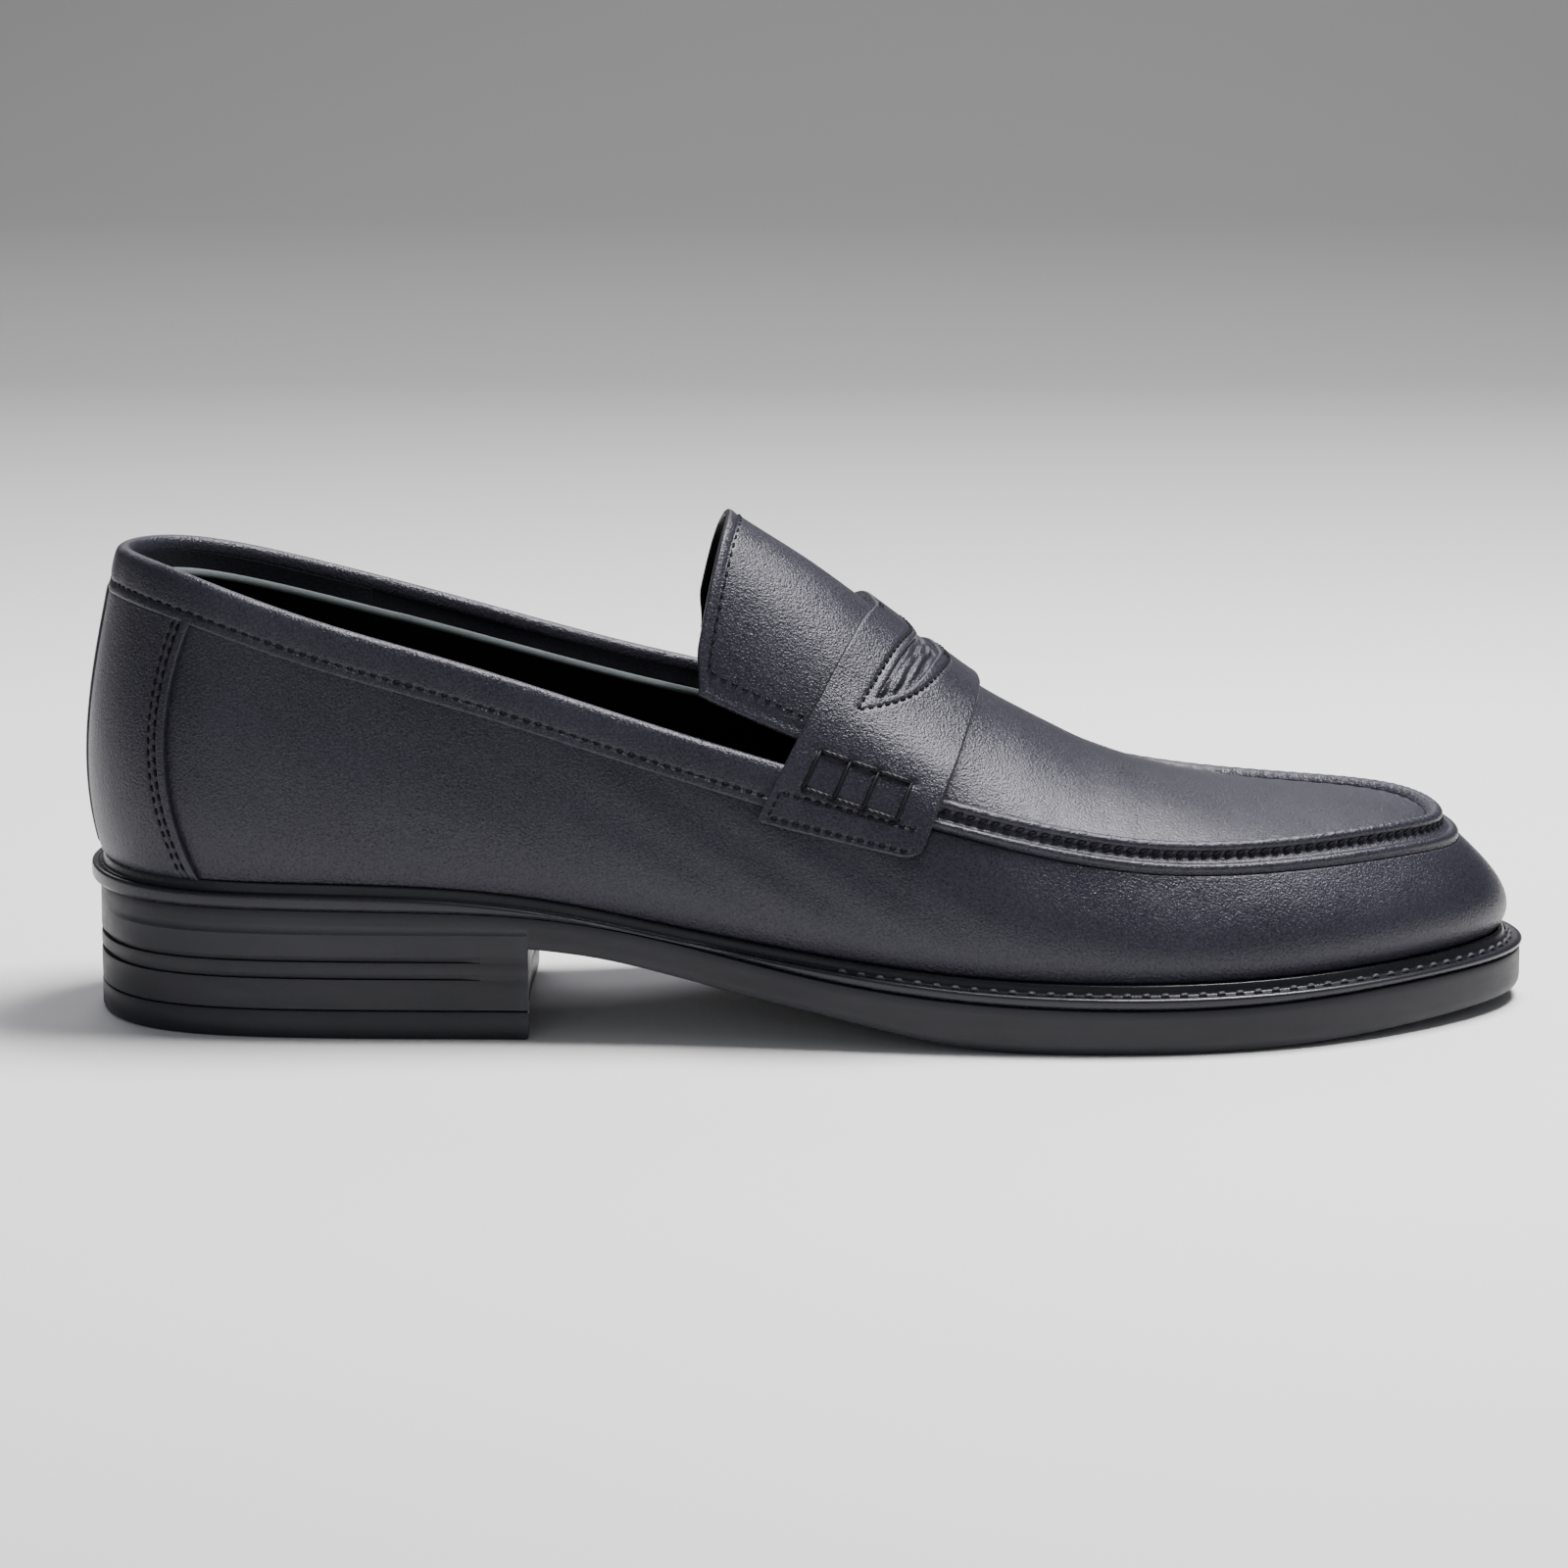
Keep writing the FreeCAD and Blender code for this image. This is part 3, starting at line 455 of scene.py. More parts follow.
def tube(points, radius):
    """Round section along a line of points."""
    sides = 8
    way = unit(np.gradient(points, axis=0))
    side = unit(np.cross(way, [0.3, 0.2, 1.0]))
    up = np.cross(side, way)
    angle = np.arange(sides) / sides * 2 * np.pi
    spoke = side[:, None] * np.cos(angle)[:, None] + up[:, None] * np.sin(angle)[:, None]
    return points[:, None] + radius * spoke


def stand_for(obj, slot, *nodes):
    """Puts a piece on the shoe's one body, in place of its CAD nodes."""
    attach(obj, "root")
    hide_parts(*nodes)


# ---- materials --------------------------------------------------------------

class Nodes:
    """Short way to write a node material."""

    def __init__(self, name):
        self.material = bpy.data.materials.new(name)
        self.material.use_nodes = True
        self.tree = self.material.node_tree
        self.shader = self.tree.nodes["Principled BSDF"]
        self.place = self.tree.nodes.new("ShaderNodeTexCoord").outputs["Object"]

    def link(self, output, target):
        self.tree.links.new(output, target)

    def feed(self, value, socket):
        """Gives a socket a number, a colour or a link."""
        if isinstance(value, (int, float)):
            socket.default_value = value
        elif isinstance(value, tuple):
            socket.default_value = (*value, 1)
        else:
            self.link(value, socket)

    def noise(self, scale, detail=3, roughness=0.5, stretch=None):
        node = self.tree.nodes.new("ShaderNodeTexNoise")
        node.inputs["Scale"].default_value = scale
        node.inputs["Detail"].default_value = detail
        node.inputs["Roughness"].default_value = roughness
        self.link(self.stretched(stretch), node.inputs["Vector"])
        return node.outputs["Fac"]

    def voronoi(self, scale, feature="F1"):
        node = self.tree.nodes.new("ShaderNodeTexVoronoi")
        node.feature = feature
        node.inputs["Scale"].default_value = scale
        self.link(self.place, node.inputs["Vector"])
        return node.outputs["Distance"]

    def wave(self, direction, scale, distortion):
        node = self.tree.nodes.new("ShaderNodeTexWave")
        node.bands_direction = direction
        node.inputs["Scale"].default_value = scale
        node.inputs["Distortion"].default_value = distortion
        self.link(self.place, node.inputs["Vector"])
        return node.outputs["Fac"]

    def worn(self, low, high):
        """Share of wear on edges, from how sharply the surface stands out."""
        geometry = self.tree.nodes.new("ShaderNodeNewGeometry")
        return self.range(geometry.outputs["Pointiness"], low, high, 0, 0.4)

    def stretched(self, stretch):
        if stretch is None:
            return self.place
        node = self.tree.nodes.new("ShaderNodeMapping")
        node.inputs["Scale"].default_value = stretch
        self.link(self.place, node.inputs["Vector"])
        return node.outputs["Vector"]

    def ramp(self, value, stops):
        node = self.tree.nodes.new("ShaderNodeValToRGB")
        ramp = node.color_ramp
        ramp.elements[0].position, ramp.elements[0].color = stops[0][0], (*stops[0][1], 1)
        ramp.elements[1].position, ramp.elements[1].color = stops[-1][0], (*stops[-1][1], 1)
        for position, colour in stops[1:-1]:
            ramp.elements.new(position).color = (*colour, 1)
        self.link(value, node.inputs["Fac"])
        return node.outputs["Color"]

    def range(self, value, low, high, new_low, new_high):
        node = self.tree.nodes.new("ShaderNodeMapRange")
        ends = {"From Min": low, "From Max": high, "To Min": new_low, "To Max": new_high}
        for key, number in ends.items():
            node.inputs[key].default_value = number
        self.link(value, node.inputs["Value"])
        return node.outputs["Result"]

    def math(self, operation, a, b):
        node = self.tree.nodes.new("ShaderNodeMath")
        node.operation = operation
        for socket, value in zip(node.inputs, (a, b)):
            self.feed(value, socket)
        return node.outputs["Value"]

    def mix(self, factor, a, b):
        node = self.tree.nodes.new("ShaderNodeMix")
        node.data_type = "RGBA"
        for key, value in (("Factor", factor), ("A", a), ("B", b)):
            socket = [s for s in node.inputs if s.name == key and (key == "Factor" or s.type == "RGBA")][0]
            self.feed(value, socket)
        return [s for s in node.outputs if s.type == "RGBA"][0]

    def bump(self, height, strength, distance, before=None):
        node = self.tree.nodes.new("ShaderNodeBump")
        node.inputs["Strength"].default_value = strength
        node.inputs["Distance"].default_value = distance
        self.link(height, node.inputs["Height"])
        if before is not None:
            self.link(before, node.inputs["Normal"])
        return node.outputs["Normal"]

    def set(self, **values):
        for key, value in values.items():
            self.feed(value, self.shader.inputs[key.replace("_", " ")])
        return self.material


def times(colour, factor):
    return tuple(c * factor for c in colour)


def leather(name, dark, light, rough, grain=1.0, shine=1.0):
    """Polished full-grain leather: pebbles, pores, long creases and wear on edges."""
    n = Nodes(name)
    pebble = n.voronoi(1500, "DISTANCE_TO_EDGE")
    pores = n.noise(1900, 2, 0.6)
    cloud = n.noise(38, 4, 0.55)
    crease = n.noise(120, 5, 0.62, (1.0, 1.0, 0.45))
    speck = n.noise(2000, 3, 0.65)
    colour = n.ramp(cloud, [(0.3, dark), (0.72, light)])
    colour = n.mix(n.range(speck, 0.54, 0.75, 0, 0.12), colour, times(light, 1.5))
    colour = n.mix(n.worn(0.505, 0.56), colour, times(light, 1.35))
    rough_map = n.range(speck, 0.35, 0.65, rough - 0.09, rough + 0.12)
    rough_map = n.math("ADD", rough_map, n.range(cloud, 0.3, 0.7, -0.04, 0.05))
    normal = n.bump(crease, 0.20, 0.0008)
    normal = n.bump(pebble, 0.35 * grain, 0.00020, normal)
    normal = n.bump(pores, 0.60 * grain, 0.00030, normal)
    return n.set(Base_Color=colour, Roughness=rough_map, Normal=normal, Specular_Tint=(0.93, 0.91, 1.0),
                 Specular_IOR_Level=n.range(speck, 0.36, 0.64, 0.26 * shine, 0.56 * shine))


def rubber(name, dark, light, rough):
    """Moulded rubber: fine texture, faint scuffs and dust in the pores."""
    n = Nodes(name)
    fine_grain = n.noise(2600, 2, 0.6)
    cloud = n.noise(45, 4, 0.6)
    scuff = n.noise(90, 6, 0.7, (0.35, 1.0, 3.0))
    specks = n.voronoi(420)
    colour = n.ramp(cloud, [(0.3, dark), (0.75, light)])
    colour = n.mix(n.range(scuff, 0.6, 0.8, 0, 0.35), colour, times(light, 1.6))
    colour = n.mix(n.range(specks, 0.02, 0.06, 0.35, 0), colour, times(light, 2.4))
    colour = n.mix(n.worn(0.51, 0.58), colour, times(light, 1.8))
    rough_map = n.range(scuff, 0.35, 0.75, rough - 0.06, rough + 0.1)
    normal = n.bump(fine_grain, 0.25, 0.00012)
    normal = n.bump(cloud, 0.12, 0.0006, normal)
    return n.set(Base_Color=colour, Roughness=rough_map, Normal=normal, Specular_IOR_Level=0.33)


def thread_material(name, colour, twist=1900, rough=0.55, shine=0.12):
    """Twisted thread with a slightly fuzzy, waxed surface."""
    n = Nodes(name)
    wave = n.wave("DIAGONAL", twist, 1.5)
    fibre = n.noise(5200, 3, 0.7)
    shade = n.ramp(wave, [(0.2, times(colour, 0.5)), (0.8, colour)])
    shade = n.mix(n.range(fibre, 0.55, 0.8, 0, 0.4), shade, times(colour, 2.2))
    normal = n.bump(wave, 0.5, 0.00012)
    normal = n.bump(fibre, 0.3, 0.00008, normal)
    return n.set(Base_Color=shade, Roughness=n.range(fibre, 0.3, 0.7, rough - 0.1, rough + 0.1),
                 Normal=normal, Specular_IOR_Level=shine)


def woven(name, colour):
    """Close plain weave of the tape."""
    n = Nodes(name)
    weave = n.math("MULTIPLY", *[n.wave(direction, 1400, 0.6) for direction in ("X", "Z")])
    cloud = n.noise(220, 4, 0.6)
    shade = n.ramp(weave, [(0.05, times(colour, 0.55)), (0.7, colour)])
    shade = n.mix(n.range(cloud, 0.4, 0.7, 0, 0.35), shade, times(colour, 1.35))
    normal = n.bump(weave, 0.5, 0.00015)
    return n.set(Base_Color=shade, Roughness=n.range(cloud, 0.3, 0.7, 0.8 - 0.08, 0.8 + 0.08),
                 Normal=normal, Sheen_Weight=0.2)


def speckled(name, colours, scale, rough, strength=0.5, metallic=0.0):
    """Cork, board, foam or plain steel, seen only where the shoe is cut away."""
    n = Nodes(name)
    cells = n.voronoi(scale)
    grain = n.noise(scale * 0.7, 4, 0.65)
    shade = n.ramp(grain, [(0.3, colours[0]), (0.7, colours[1])])
    normal = n.bump(cells, strength, 0.0003)
    return n.set(Base_Color=shade, Roughness=n.range(grain, 0.3, 0.7, rough - 0.1, rough + 0.1),
                 Normal=normal, Metallic=metallic)


UPPER = leather("upper_leather", (0.0125, 0.0120, 0.0185), (0.0190, 0.0183, 0.0275), 0.35)
STRAP_LEATHER = leather("strap_leather", (0.0130, 0.0125, 0.0190), (0.0200, 0.0193, 0.0285), 0.33)
SOFT_LEATHER = leather("soft_leather", (0.014, 0.0135, 0.020), (0.023, 0.022, 0.032), 0.32, 1.4)
LINING = leather("lining_leather", (0.0035, 0.0038, 0.0048), (0.007, 0.0074, 0.009), 0.66, 0.6, 0.2)
SOCK = leather("sock_leather", (0.012, 0.012, 0.014), (0.022, 0.022, 0.025), 0.58, 0.7, 0.5)
RUBBER_COLOURS = (0.0095, 0.0096, 0.0132), (0.015, 0.0152, 0.0205)
RUBBER = rubber("sole_rubber", *RUBBER_COLOURS, 0.46)
WELT_RUBBER = rubber("welt_rubber", *RUBBER_COLOURS, 0.28)
THREAD = thread_material("upper_thread", (0.006, 0.0055, 0.009))
SEAM_THREAD = thread_material("seam_thread", (0.009, 0.0085, 0.013), 1500)
WELT_THREAD = thread_material("welt_thread", (0.075, 0.075, 0.088), 1500, 0.45, 0.5)
CORD = thread_material("lacing_cord", (0.008, 0.0075, 0.0115), 900, 0.42, 0.16)
TAPE = woven("edge_tape", (0.13, 0.155, 0.158))
CORK = speckled("cork", ((0.35, 0.22, 0.12), (0.55, 0.38, 0.22)), 900, 0.85)
BOARD = speckled("fibre_board", ((0.32, 0.25, 0.18), (0.45, 0.36, 0.26)), 1600, 0.8)
FOAM = speckled("foam", ((0.05, 0.05, 0.05), (0.09, 0.09, 0.09)), 1400, 0.9)
STEEL = speckled("spring_steel", ((0.35, 0.35, 0.36), (0.5, 0.5, 0.51)), 500, 0.35, 0.1, 1.0)


# ---- upper ------------------------------------------------------------------

def upper_wall():
    """Leather wall all round, with faint hollows and drag lines as lasted leather has."""
    a = np.linspace(0.02, STATIONS - 0.02, 520)
    drop = np.where(a < 5.3, 3.0, 3.75)
    drop = np.where(a > STATIONS - 5.3, 3.0, drop)
    high = below_top(a, drop)
    b = fine(0, 1, 56, edge=0.012)
    rise = b[None, :] * high[:, None]
    station = a[:, None] + 0 * rise
    base = wall(station, rise)
    x, z = base[..., 0], base[..., 2]
    soft = 0.10 * np.sin(x * 0.11 + z * 0.21) * np.sin(z * 0.13 + 1.1)
    waist = np.exp(-((x + 5) / 45) ** 2) * smooth(rise * 2.5) * smooth((1 - rise) * 4)
    drag = 0.12 * waist * np.sin((x * 0.55 + z * 0.85) * 0.62)
    wall_obj = panel("side_wall_leather", wall, station, rise, 0.0, 1.6, UPPER, 0.5, soft + drag)
    stand_for(wall_obj, "upper_leather", "side_wall")


FOXING_ROWS = (2.3, 3.7)
FOXING_STATION = 30  # millimetres in a station near the heel


def back_piece_edge(rise):
    """Station of the heel piece's front edge, drawn in at mid height."""
    return 1.47 - 0.95 * rise * (1 - rise) - 0.12 * rise


def heel_foxing():
    """Leather round the back of the heel with a raised strip along each front edge."""
    f = fine(-1, 1, 130, edge=0.02)
    fringe = 1 - np.linspace(0, 0.14, 42)
    f = np.unique(np.concatenate([f, -fringe, fringe]))
    r = fine(0.02, 1, 60)
    high = below_top(1.0, BINDING_WIDTH - 1.2)
    rise = np.repeat((r * high)[None, :], len(f), 0)
    station = f[:, None] * back_piece_edge(rise)
    from_edge = (1 - np.abs(f))[:, None] * back_piece_edge(rise) * FOXING_STATION
    relief = 0.32 * smooth((2.0 - from_edge) / 0.5)
    for row, depth, width in zip(FOXING_ROWS, (0.30, 0.2), (0.32, 0.34)):
        relief = relief - depth * np.exp(-((from_edge - row) / width) ** 2)
    piece = panel("heel_foxing", wall, station, rise, 1.15, 1.1, UPPER, 0.4, relief)
    stand_for(piece, "upper_leather", "heel_back_piece")


def foxing_lines(side):
    rise = np.linspace(0.04, float(below_top(1.0, BINDING_WIDTH + 0.4)), 80)
    lines = []
    for inset in FOXING_ROWS:
        station = side * (back_piece_edge(rise) - inset / FOXING_STATION)
        lines.append(surface_line(wall, station, rise, 1.0))
    return lines


def foxing_stitches():
    for side, word in SIDES:
        row = stitches("back_piece_stitches_" + word, foxing_lines(side), STITCH, 1.75, 0.27, THREAD)
        stand_for(row, "thread", "back_piece_stitching_" + word)


def back_strip():
    """Narrow strip over the seam up the centre of the back."""
    half = 0.055
    a = fine(-half, half, 9, edge=0.012)
    b = np.linspace(0.03, float(below_top(0.0, BINDING_WIDTH - 0.8)), 60)
    station, rise = grid(a, b)
    ridge = 0.12 * np.cos(station / half * np.pi)
    piece = panel("back_seam_cover", wall, station, rise, 1.75, 0.7, UPPER, 0.3, ridge)
    stand_for(piece, "upper_leather", "back_seam_strip")


# Folded band over the topline and the pale edge of the lining, as (distance below the top,
# height off the wall or the lining) points.
BINDING_OUTLINE = [
    (8.8, -0.1), (9.2, 0.5), (9.2, 1.1), (8.85, 1.4), (8.2, 1.45), (7.6, 1.38), (7.2, 1.22),
    (6.9, 1.1), (6.6, 1.2), (6.2, 1.34), (5.0, 1.44), (3.4, 1.44), (1.8, 1.32), (0.55, 1.05),
    (-0.25, 0.45), (-0.55, -0.4), (-0.35, -1.2), (0.3, -1.85), (1.2, -2.2), (2.1, -2.4),
    (2.5, -2.2), (2.3, -1.5), (2.4, -0.8), (3.0, -0.1), (6.0, 0.05),
]
TAPE_OUTLINE = [(5.2, -0.1), (5.2, 0.45), (5.9, 0.62), (6.6, 0.45), (6.6, -0.1)]


def topline_band():
    a = np.linspace(-BINDING_END, BINDING_END, 380)
    outline = rounded(BINDING_OUTLINE)
    wave = 0.07 * np.sin(a * 9.0) + 0.05 * np.sin(a * 23.0 + 1)
    station, down = grid(a, outline[:, 0])
    lift = outline[None, :, 1] + wave[:, None] * smooth((outline[None, :, 1] - 0.4) / 0.6)
    normal = normals(wall_down, station, np.maximum(down, 0.4))
    sections = wall_down(station, down) - normal * lift[..., None]
    band = ribbon("topline_band", sections, UPPER)
    stand_for(band, "upper_leather", "topline_binding")


def wall_line(a, down, lift):
    """Line along the wall at a distance below its top, with outward directions."""
    normal = -normals(wall_down, a, np.full_like(a, down))
    return wall_down(a, down) + normal * lift, normal


def topline_stitches():
    line = wall_line(np.linspace(-5.1, 5.1, 600), BINDING_SEAM, 1.06)
    row = stitches("topline_stitches", [line], STITCH, 1.8, 0.27, THREAD)
    stand_for(row, "thread", "topline_stitching")


# Apron seam: (distance below the top, height off the wall), then (distance inward, height).
SEAM_WALL_PART = [(4.3, -0.9), (3.75, -0.45), (3.45, 0.05), (3.15, 0.62), (2.65, 0.92),
                  (2.1, 0.85), (1.7, 0.45), (1.45, -0.15)]
SEAM_TOP_PART = [(0.1, -0.55), (0.42, 0.15), (0.35, 0.75), (0.1, 1.15), (0.05, 1.75),
                 (0.4, 2.35), (1.05, 2.7), (1.9, 2.68), (2.75, 2.3), (3.4, 1.75),
                 (3.85, 1.2), (3.6, 0.4), (2.4, -0.2), (1.6, -2.6)]
SEAM_ROWS = 900
PUCKER_STEP = 1 / 9.5


def seam_sections(a):
    """Bead on the wall side, stitched channel, and the roll on the apron side."""
    normal = -normals(wall_down, a, np.full_like(a, 2.0))
    inward = seam_inward(a)
    points = [wall_down(a, d) + normal * h for d, h in SEAM_WALL_PART]
    pucker = 0.045 * np.sin(np.linspace(0, len(a), len(a)) * 2 * np.pi * PUCKER_STEP)
    for i, z in SEAM_TOP_PART:
        proud = smooth((z - 1.0) / 1.2) * pucker
        shift = inward * i
        shift[..., 2] += z + proud
        points.append(top(a) + shift)
    return rounded(np.array(points)).transpose(1, 0, 2)


def apron_seam():
    seam = ribbon("apron_seam_roll", seam_sections(seam_run()), UPPER)
    stand_for(seam, "upper_leather", "apron_roll")


def seam_run():
    return np.linspace(SEAM_REAR, STATIONS - SEAM_REAR, SEAM_ROWS)


def apron_seam_stitches():
    a = seam_run()
    inward = seam_inward(a)
    spot = top(a) + inward * 0.22
    spot[:, 2] += 0.35
    out = -inward + np.array([0, 0, 0.3])
    line = spot, unit(out)
    row = stitches("apron_seam_stitches", [line], SEAM_STITCH, 2.3, 0.36, SEAM_THREAD, tilt=0.42)
    stand_for(row, "thread", "apron_stitching")


def apron_plug():
    """The plug, crowned and very slightly puckered along the seam."""
    a = fine(5.62, 9.995, 190)
    b = fine(-1, 1, 90, edge=0.03)
    station, across = grid(a, b)
    base = apron_surface(station, across)
    near_edge = smooth((np.abs(across) - 0.8) / 0.2)
    pucker = 0.06 * near_edge * np.sin(station * 34)
    x, y = base[..., 0], base[..., 1]
    soft = 0.07 * np.sin(x * 0.13 + y * 0.1) * (1 - near_edge)
    flex = 0.03 * np.exp(-((x - 62) / 16) ** 2) * np.sin(x * 0.62 + y * 0.05)
    outer = base.copy()
    outer[..., 2] += pucker + soft + flex - 0.25 * smooth((np.abs(across) - 0.97) / 0.03)
    inner = base.copy()
    inner[..., 2] -= 1.4
    plug = closed_panel("apron_plug", outer, inner, UPPER)
    stand_for(plug, "upper_leather", "apron")


# ---- tongue -----------------------------------------------------------------

def cap_station(x):
    return 5 + x / 36


def tongue_rear(across):
    return TONGUE_APEX - TONGUE_SWEEP * np.abs(across / TONGUE_SIDE) ** 1.6


def tongue_map(f, w):
    """f across from the medial (-1) to the lateral side, w from the rear edge (0) forward."""
    corner = 1.6 * smooth((np.abs(f) - 0.86) / 0.14) * smooth((0.12 - w) / 0.12)
    rear = cap_station(tongue_rear(f * TONGUE_SIDE) + corner)
    station = rear + (TONGUE_FRONT - rear) * w
    return cap(station, -f * (TONGUE_SIDE + 0.03 * (station - rear)))


def tongue_panel():
    f = fine(-1, 1, 110, centres=(-0.93, 0.93), spread=0.012, edge=0.02)
    w = fine(0, 1, 60, centres=(0.07,), spread=0.015, edge=0.03)
    f, w = grid(f, w)
    base = tongue_map(f, w)
    nearest = np.minimum(distance_along(base, 1), from_sides(distance_along(base), 0))
    groove = -0.22 * np.exp(-((nearest - 2.4) / 0.45) ** 2) + 0.10 * smooth((2.0 - nearest) / 1.2)
    wave = 0.18 * np.sin(base[..., 1] * 0.16 + 0.4) * smooth(1 - w * 1.6)
    piece = panel("tongue_leather", tongue_map, f, w, 0.0, 1.5, UPPER, 0.45, groove - wave * 0.4)
    stand_for(piece, "upper_leather", "tongue")


def tongue_back():
    f, w = grid(fine(-0.985, 0.985, 70), fine(0.012, 0.99, 30))
    piece = panel("tongue_lining_leather", tongue_map, f, w, -1.55, 0.9, LINING, 0.3)
    stand_for(piece, "lining", "tongue_lining")


def tongue_stitches():
    side, rear, front = 0.925, 0.075, 0.86
    f = np.concatenate([np.full(40, -side), np.linspace(-side, side, 120), np.full(40, side)])
    w = np.concatenate([np.linspace(front, rear, 40), np.full(120, rear), np.linspace(rear, front, 40)])
    points, normal = surface_line(tongue_map, f, w, -0.08)
    row = stitches("tongue_stitches", [(points, normal)], STITCH, 1.75, 0.27, THREAD)
    stand_for(row, "thread", "tongue_stitching")


# ---- strap ------------------------------------------------------------------

def half_section(x, side):
    """Half section of the shoe from the crown down one side, as (distance, y, z) rows."""
    points = [cap(cap_station(x), -side * a) for a in (0, 0.25, 0.5, 0.72, 0.88)]
    points += [wall(side * cap_station(x), r) for r in (0.93, 0.8, 0.62, 0.4)]
    points = np.array(points)[:, 1:]
    return distance_along(points), points


class Sections:
    """Half sections worked out at even steps in x, read by interpolation."""

    def __init__(self, side):
        self.x = np.linspace(-24, 48, 73)
        self.s = np.linspace(0, 90, 181)
        self.y = np.zeros((len(self.x), len(self.s)))
        self.z = np.zeros_like(self.y)
        self.edge = np.zeros(len(self.x))
        for i, x in enumerate(self.x):
            run, points = half_section(x, side)
            y, z = (Line(np.stack([run, points[:, k]], -1)) for k in (0, 1))
            self.y[i], self.z[i] = y(self.s), z(self.s)
            self.edge[i] = run[5]

    def read(self, table, x, s):
        i = np.clip((x - self.x[0]) / (self.x[1] - self.x[0]), 0, len(self.x) - 1.001)
        j = np.clip(s / (self.s[1] - self.s[0]), 0, len(self.s) - 1.001)
        i0, j0 = i.astype(int), j.astype(int)
        fi, fj = i - i0, j - j0
        return ((1 - fi) * (1 - fj) * table[i0, j0] + fi * (1 - fj) * table[i0 + 1, j0]
                + (1 - fi) * fj * table[i0, j0 + 1] + fi * fj * table[i0 + 1, j0 + 1])


SECTIONS = {LATERAL: Sections(LATERAL), MEDIAL: Sections(MEDIAL)}


def strap_base(f, w):
    """Under the strap: f from the lateral end (-1) to the medial end (+1), w rear to front."""
    f, w = pair(f, w)
    q = np.abs(f)
    rear = STRAP_REAR[0] + STRAP_REAR[1] * q ** 1.25
    front = STRAP_FRONT[0] + STRAP_FRONT[1] * q ** 1.7
    x = rear + (front - rear) * w
    out = np.zeros(f.shape + (3,))
    out[..., 0] = x
    for side in (LATERAL, MEDIAL):
        table = SECTIONS[side]
        edge = np.interp(x, table.x, table.edge) + STRAP_DROP[0] + STRAP_DROP[1] * w
        here = (f <= 0) if side == LATERAL else (f > 0)
        out[..., 1] = np.where(here, table.read(table.y, x, q * edge), out[..., 1])
        out[..., 2] = np.where(here, table.read(table.z, x, q * edge), out[..., 2])
    return out


def strap_normal(f, w):
    step = 0.03
    along_f = strap_base(f + step, w) - strap_base(f - step, w)
    along_w = strap_base(f, w + 0.1) - strap_base(f, w - 0.1)
    return unit(np.cross(along_w, along_f))


def strap_face(f):
    """Height of the strap's face: it lies on the tongue and climbs over the seam."""
    return 1.95 + 1.35 * smooth((np.abs(f) - 0.42) / 0.26)


def strap_ends(f, w):
    """Rounded corners: draws the strap's ends in beside its front and rear edges."""
    front = np.clip((w - 0.885) / 0.115, 0, 1)
    rear = np.clip((0.05 - w) / 0.05, 0, 1)
    drawn = 0.048 * (1 - np.sqrt(1 - front ** 2)) + 0.02 * (1 - np.sqrt(1 - rear ** 2))
    return f * (1 - drawn * smooth((np.abs(f) - 0.80) / 0.2))


def strap_at(f, w, lift):
    """Strap point at a height above or below the strap's face."""
    f, w = pair(f, w)
    f = strap_ends(f, w)
    height = strap_face(f) + np.asarray(lift, float)
    return strap_base(f, w) + strap_normal(f, w) * height[..., None]


SLOT_TIP = 0.47
SLOT_REAR_W = 0.39
SLOT_BOW = 0.215
SLOT_SLANT = -0.10
SEAM_TIP = 0.545
SEAM_REAR_W = 0.335
SEAM_BOW = 0.36
SEAM_SLANT = -0.13
LACE_COLUMNS = (0.17, 0.37, 0.56, 0.78)
LACE_RAILS = (0.725, 0.852)
LACE_SLANT = (0.02, 0.03)
END_ROWS = (0.889, 0.976)
CROWN_TACKS = (0.04, 0.655)
STRAP_ROUND = 0.5
STRAP_THICK = 1.7


def slot_rear_w(f):
    return SLOT_REAR_W + SLOT_SLANT * np.abs(f)


def slot_front_w(f):
    """Front edge of the half-moon slot; its rear edge is straight."""
    return slot_rear_w(f) + SLOT_BOW * np.clip(1 - np.abs(f / SLOT_TIP) ** 5, 0, 1)


def slot_seams():
    """The two stitch lines beside the slot, which meet at its tips."""
    f = SEAM_TIP * np.sin(np.linspace(-np.pi / 2, np.pi / 2, 240))
    straight = SEAM_REAR_W + SEAM_SLANT * np.abs(f)
    return (f, straight), (f, straight + SEAM_BOW * (1 - (f / SEAM_TIP) ** 4))


def lace_rail(index, w):
    return LACE_RAILS[index] + LACE_SLANT[index] * w


def strap_relief(f, w):
    """Pressed seam lines, dimples at the lacing holes, and a little life in the leather."""
    q = np.abs(f)
    (seam_f, straight), (_, bow) = slot_seams()
    away = np.minimum(np.abs(w - np.interp(f, seam_f, straight)), np.abs(w - np.interp(f, seam_f, bow)))
    line = np.where(q < SEAM_TIP, -0.22 * np.exp(-(away / 0.018) ** 2), 0)
    soft = 0.10 * np.sin(f * 9 + w * 3.1) * (1 - smooth((q - 0.55) / 0.2)) * smooth(q * 3)
    holes = 0
    for column in LACE_COLUMNS:
        for k in (0, 1):
            rail = lace_rail(k, column)
            holes = holes - 0.5 * np.exp(-(((q - rail) / 0.014) ** 2 + ((w - column) / 0.028) ** 2))
    pressed = 0
    for row in END_ROWS:
        pressed = pressed - 0.18 * np.exp(-((q - row) / 0.007) ** 2) * (w > 0.05) * (w < 0.94)
    return line + soft + holes + pressed


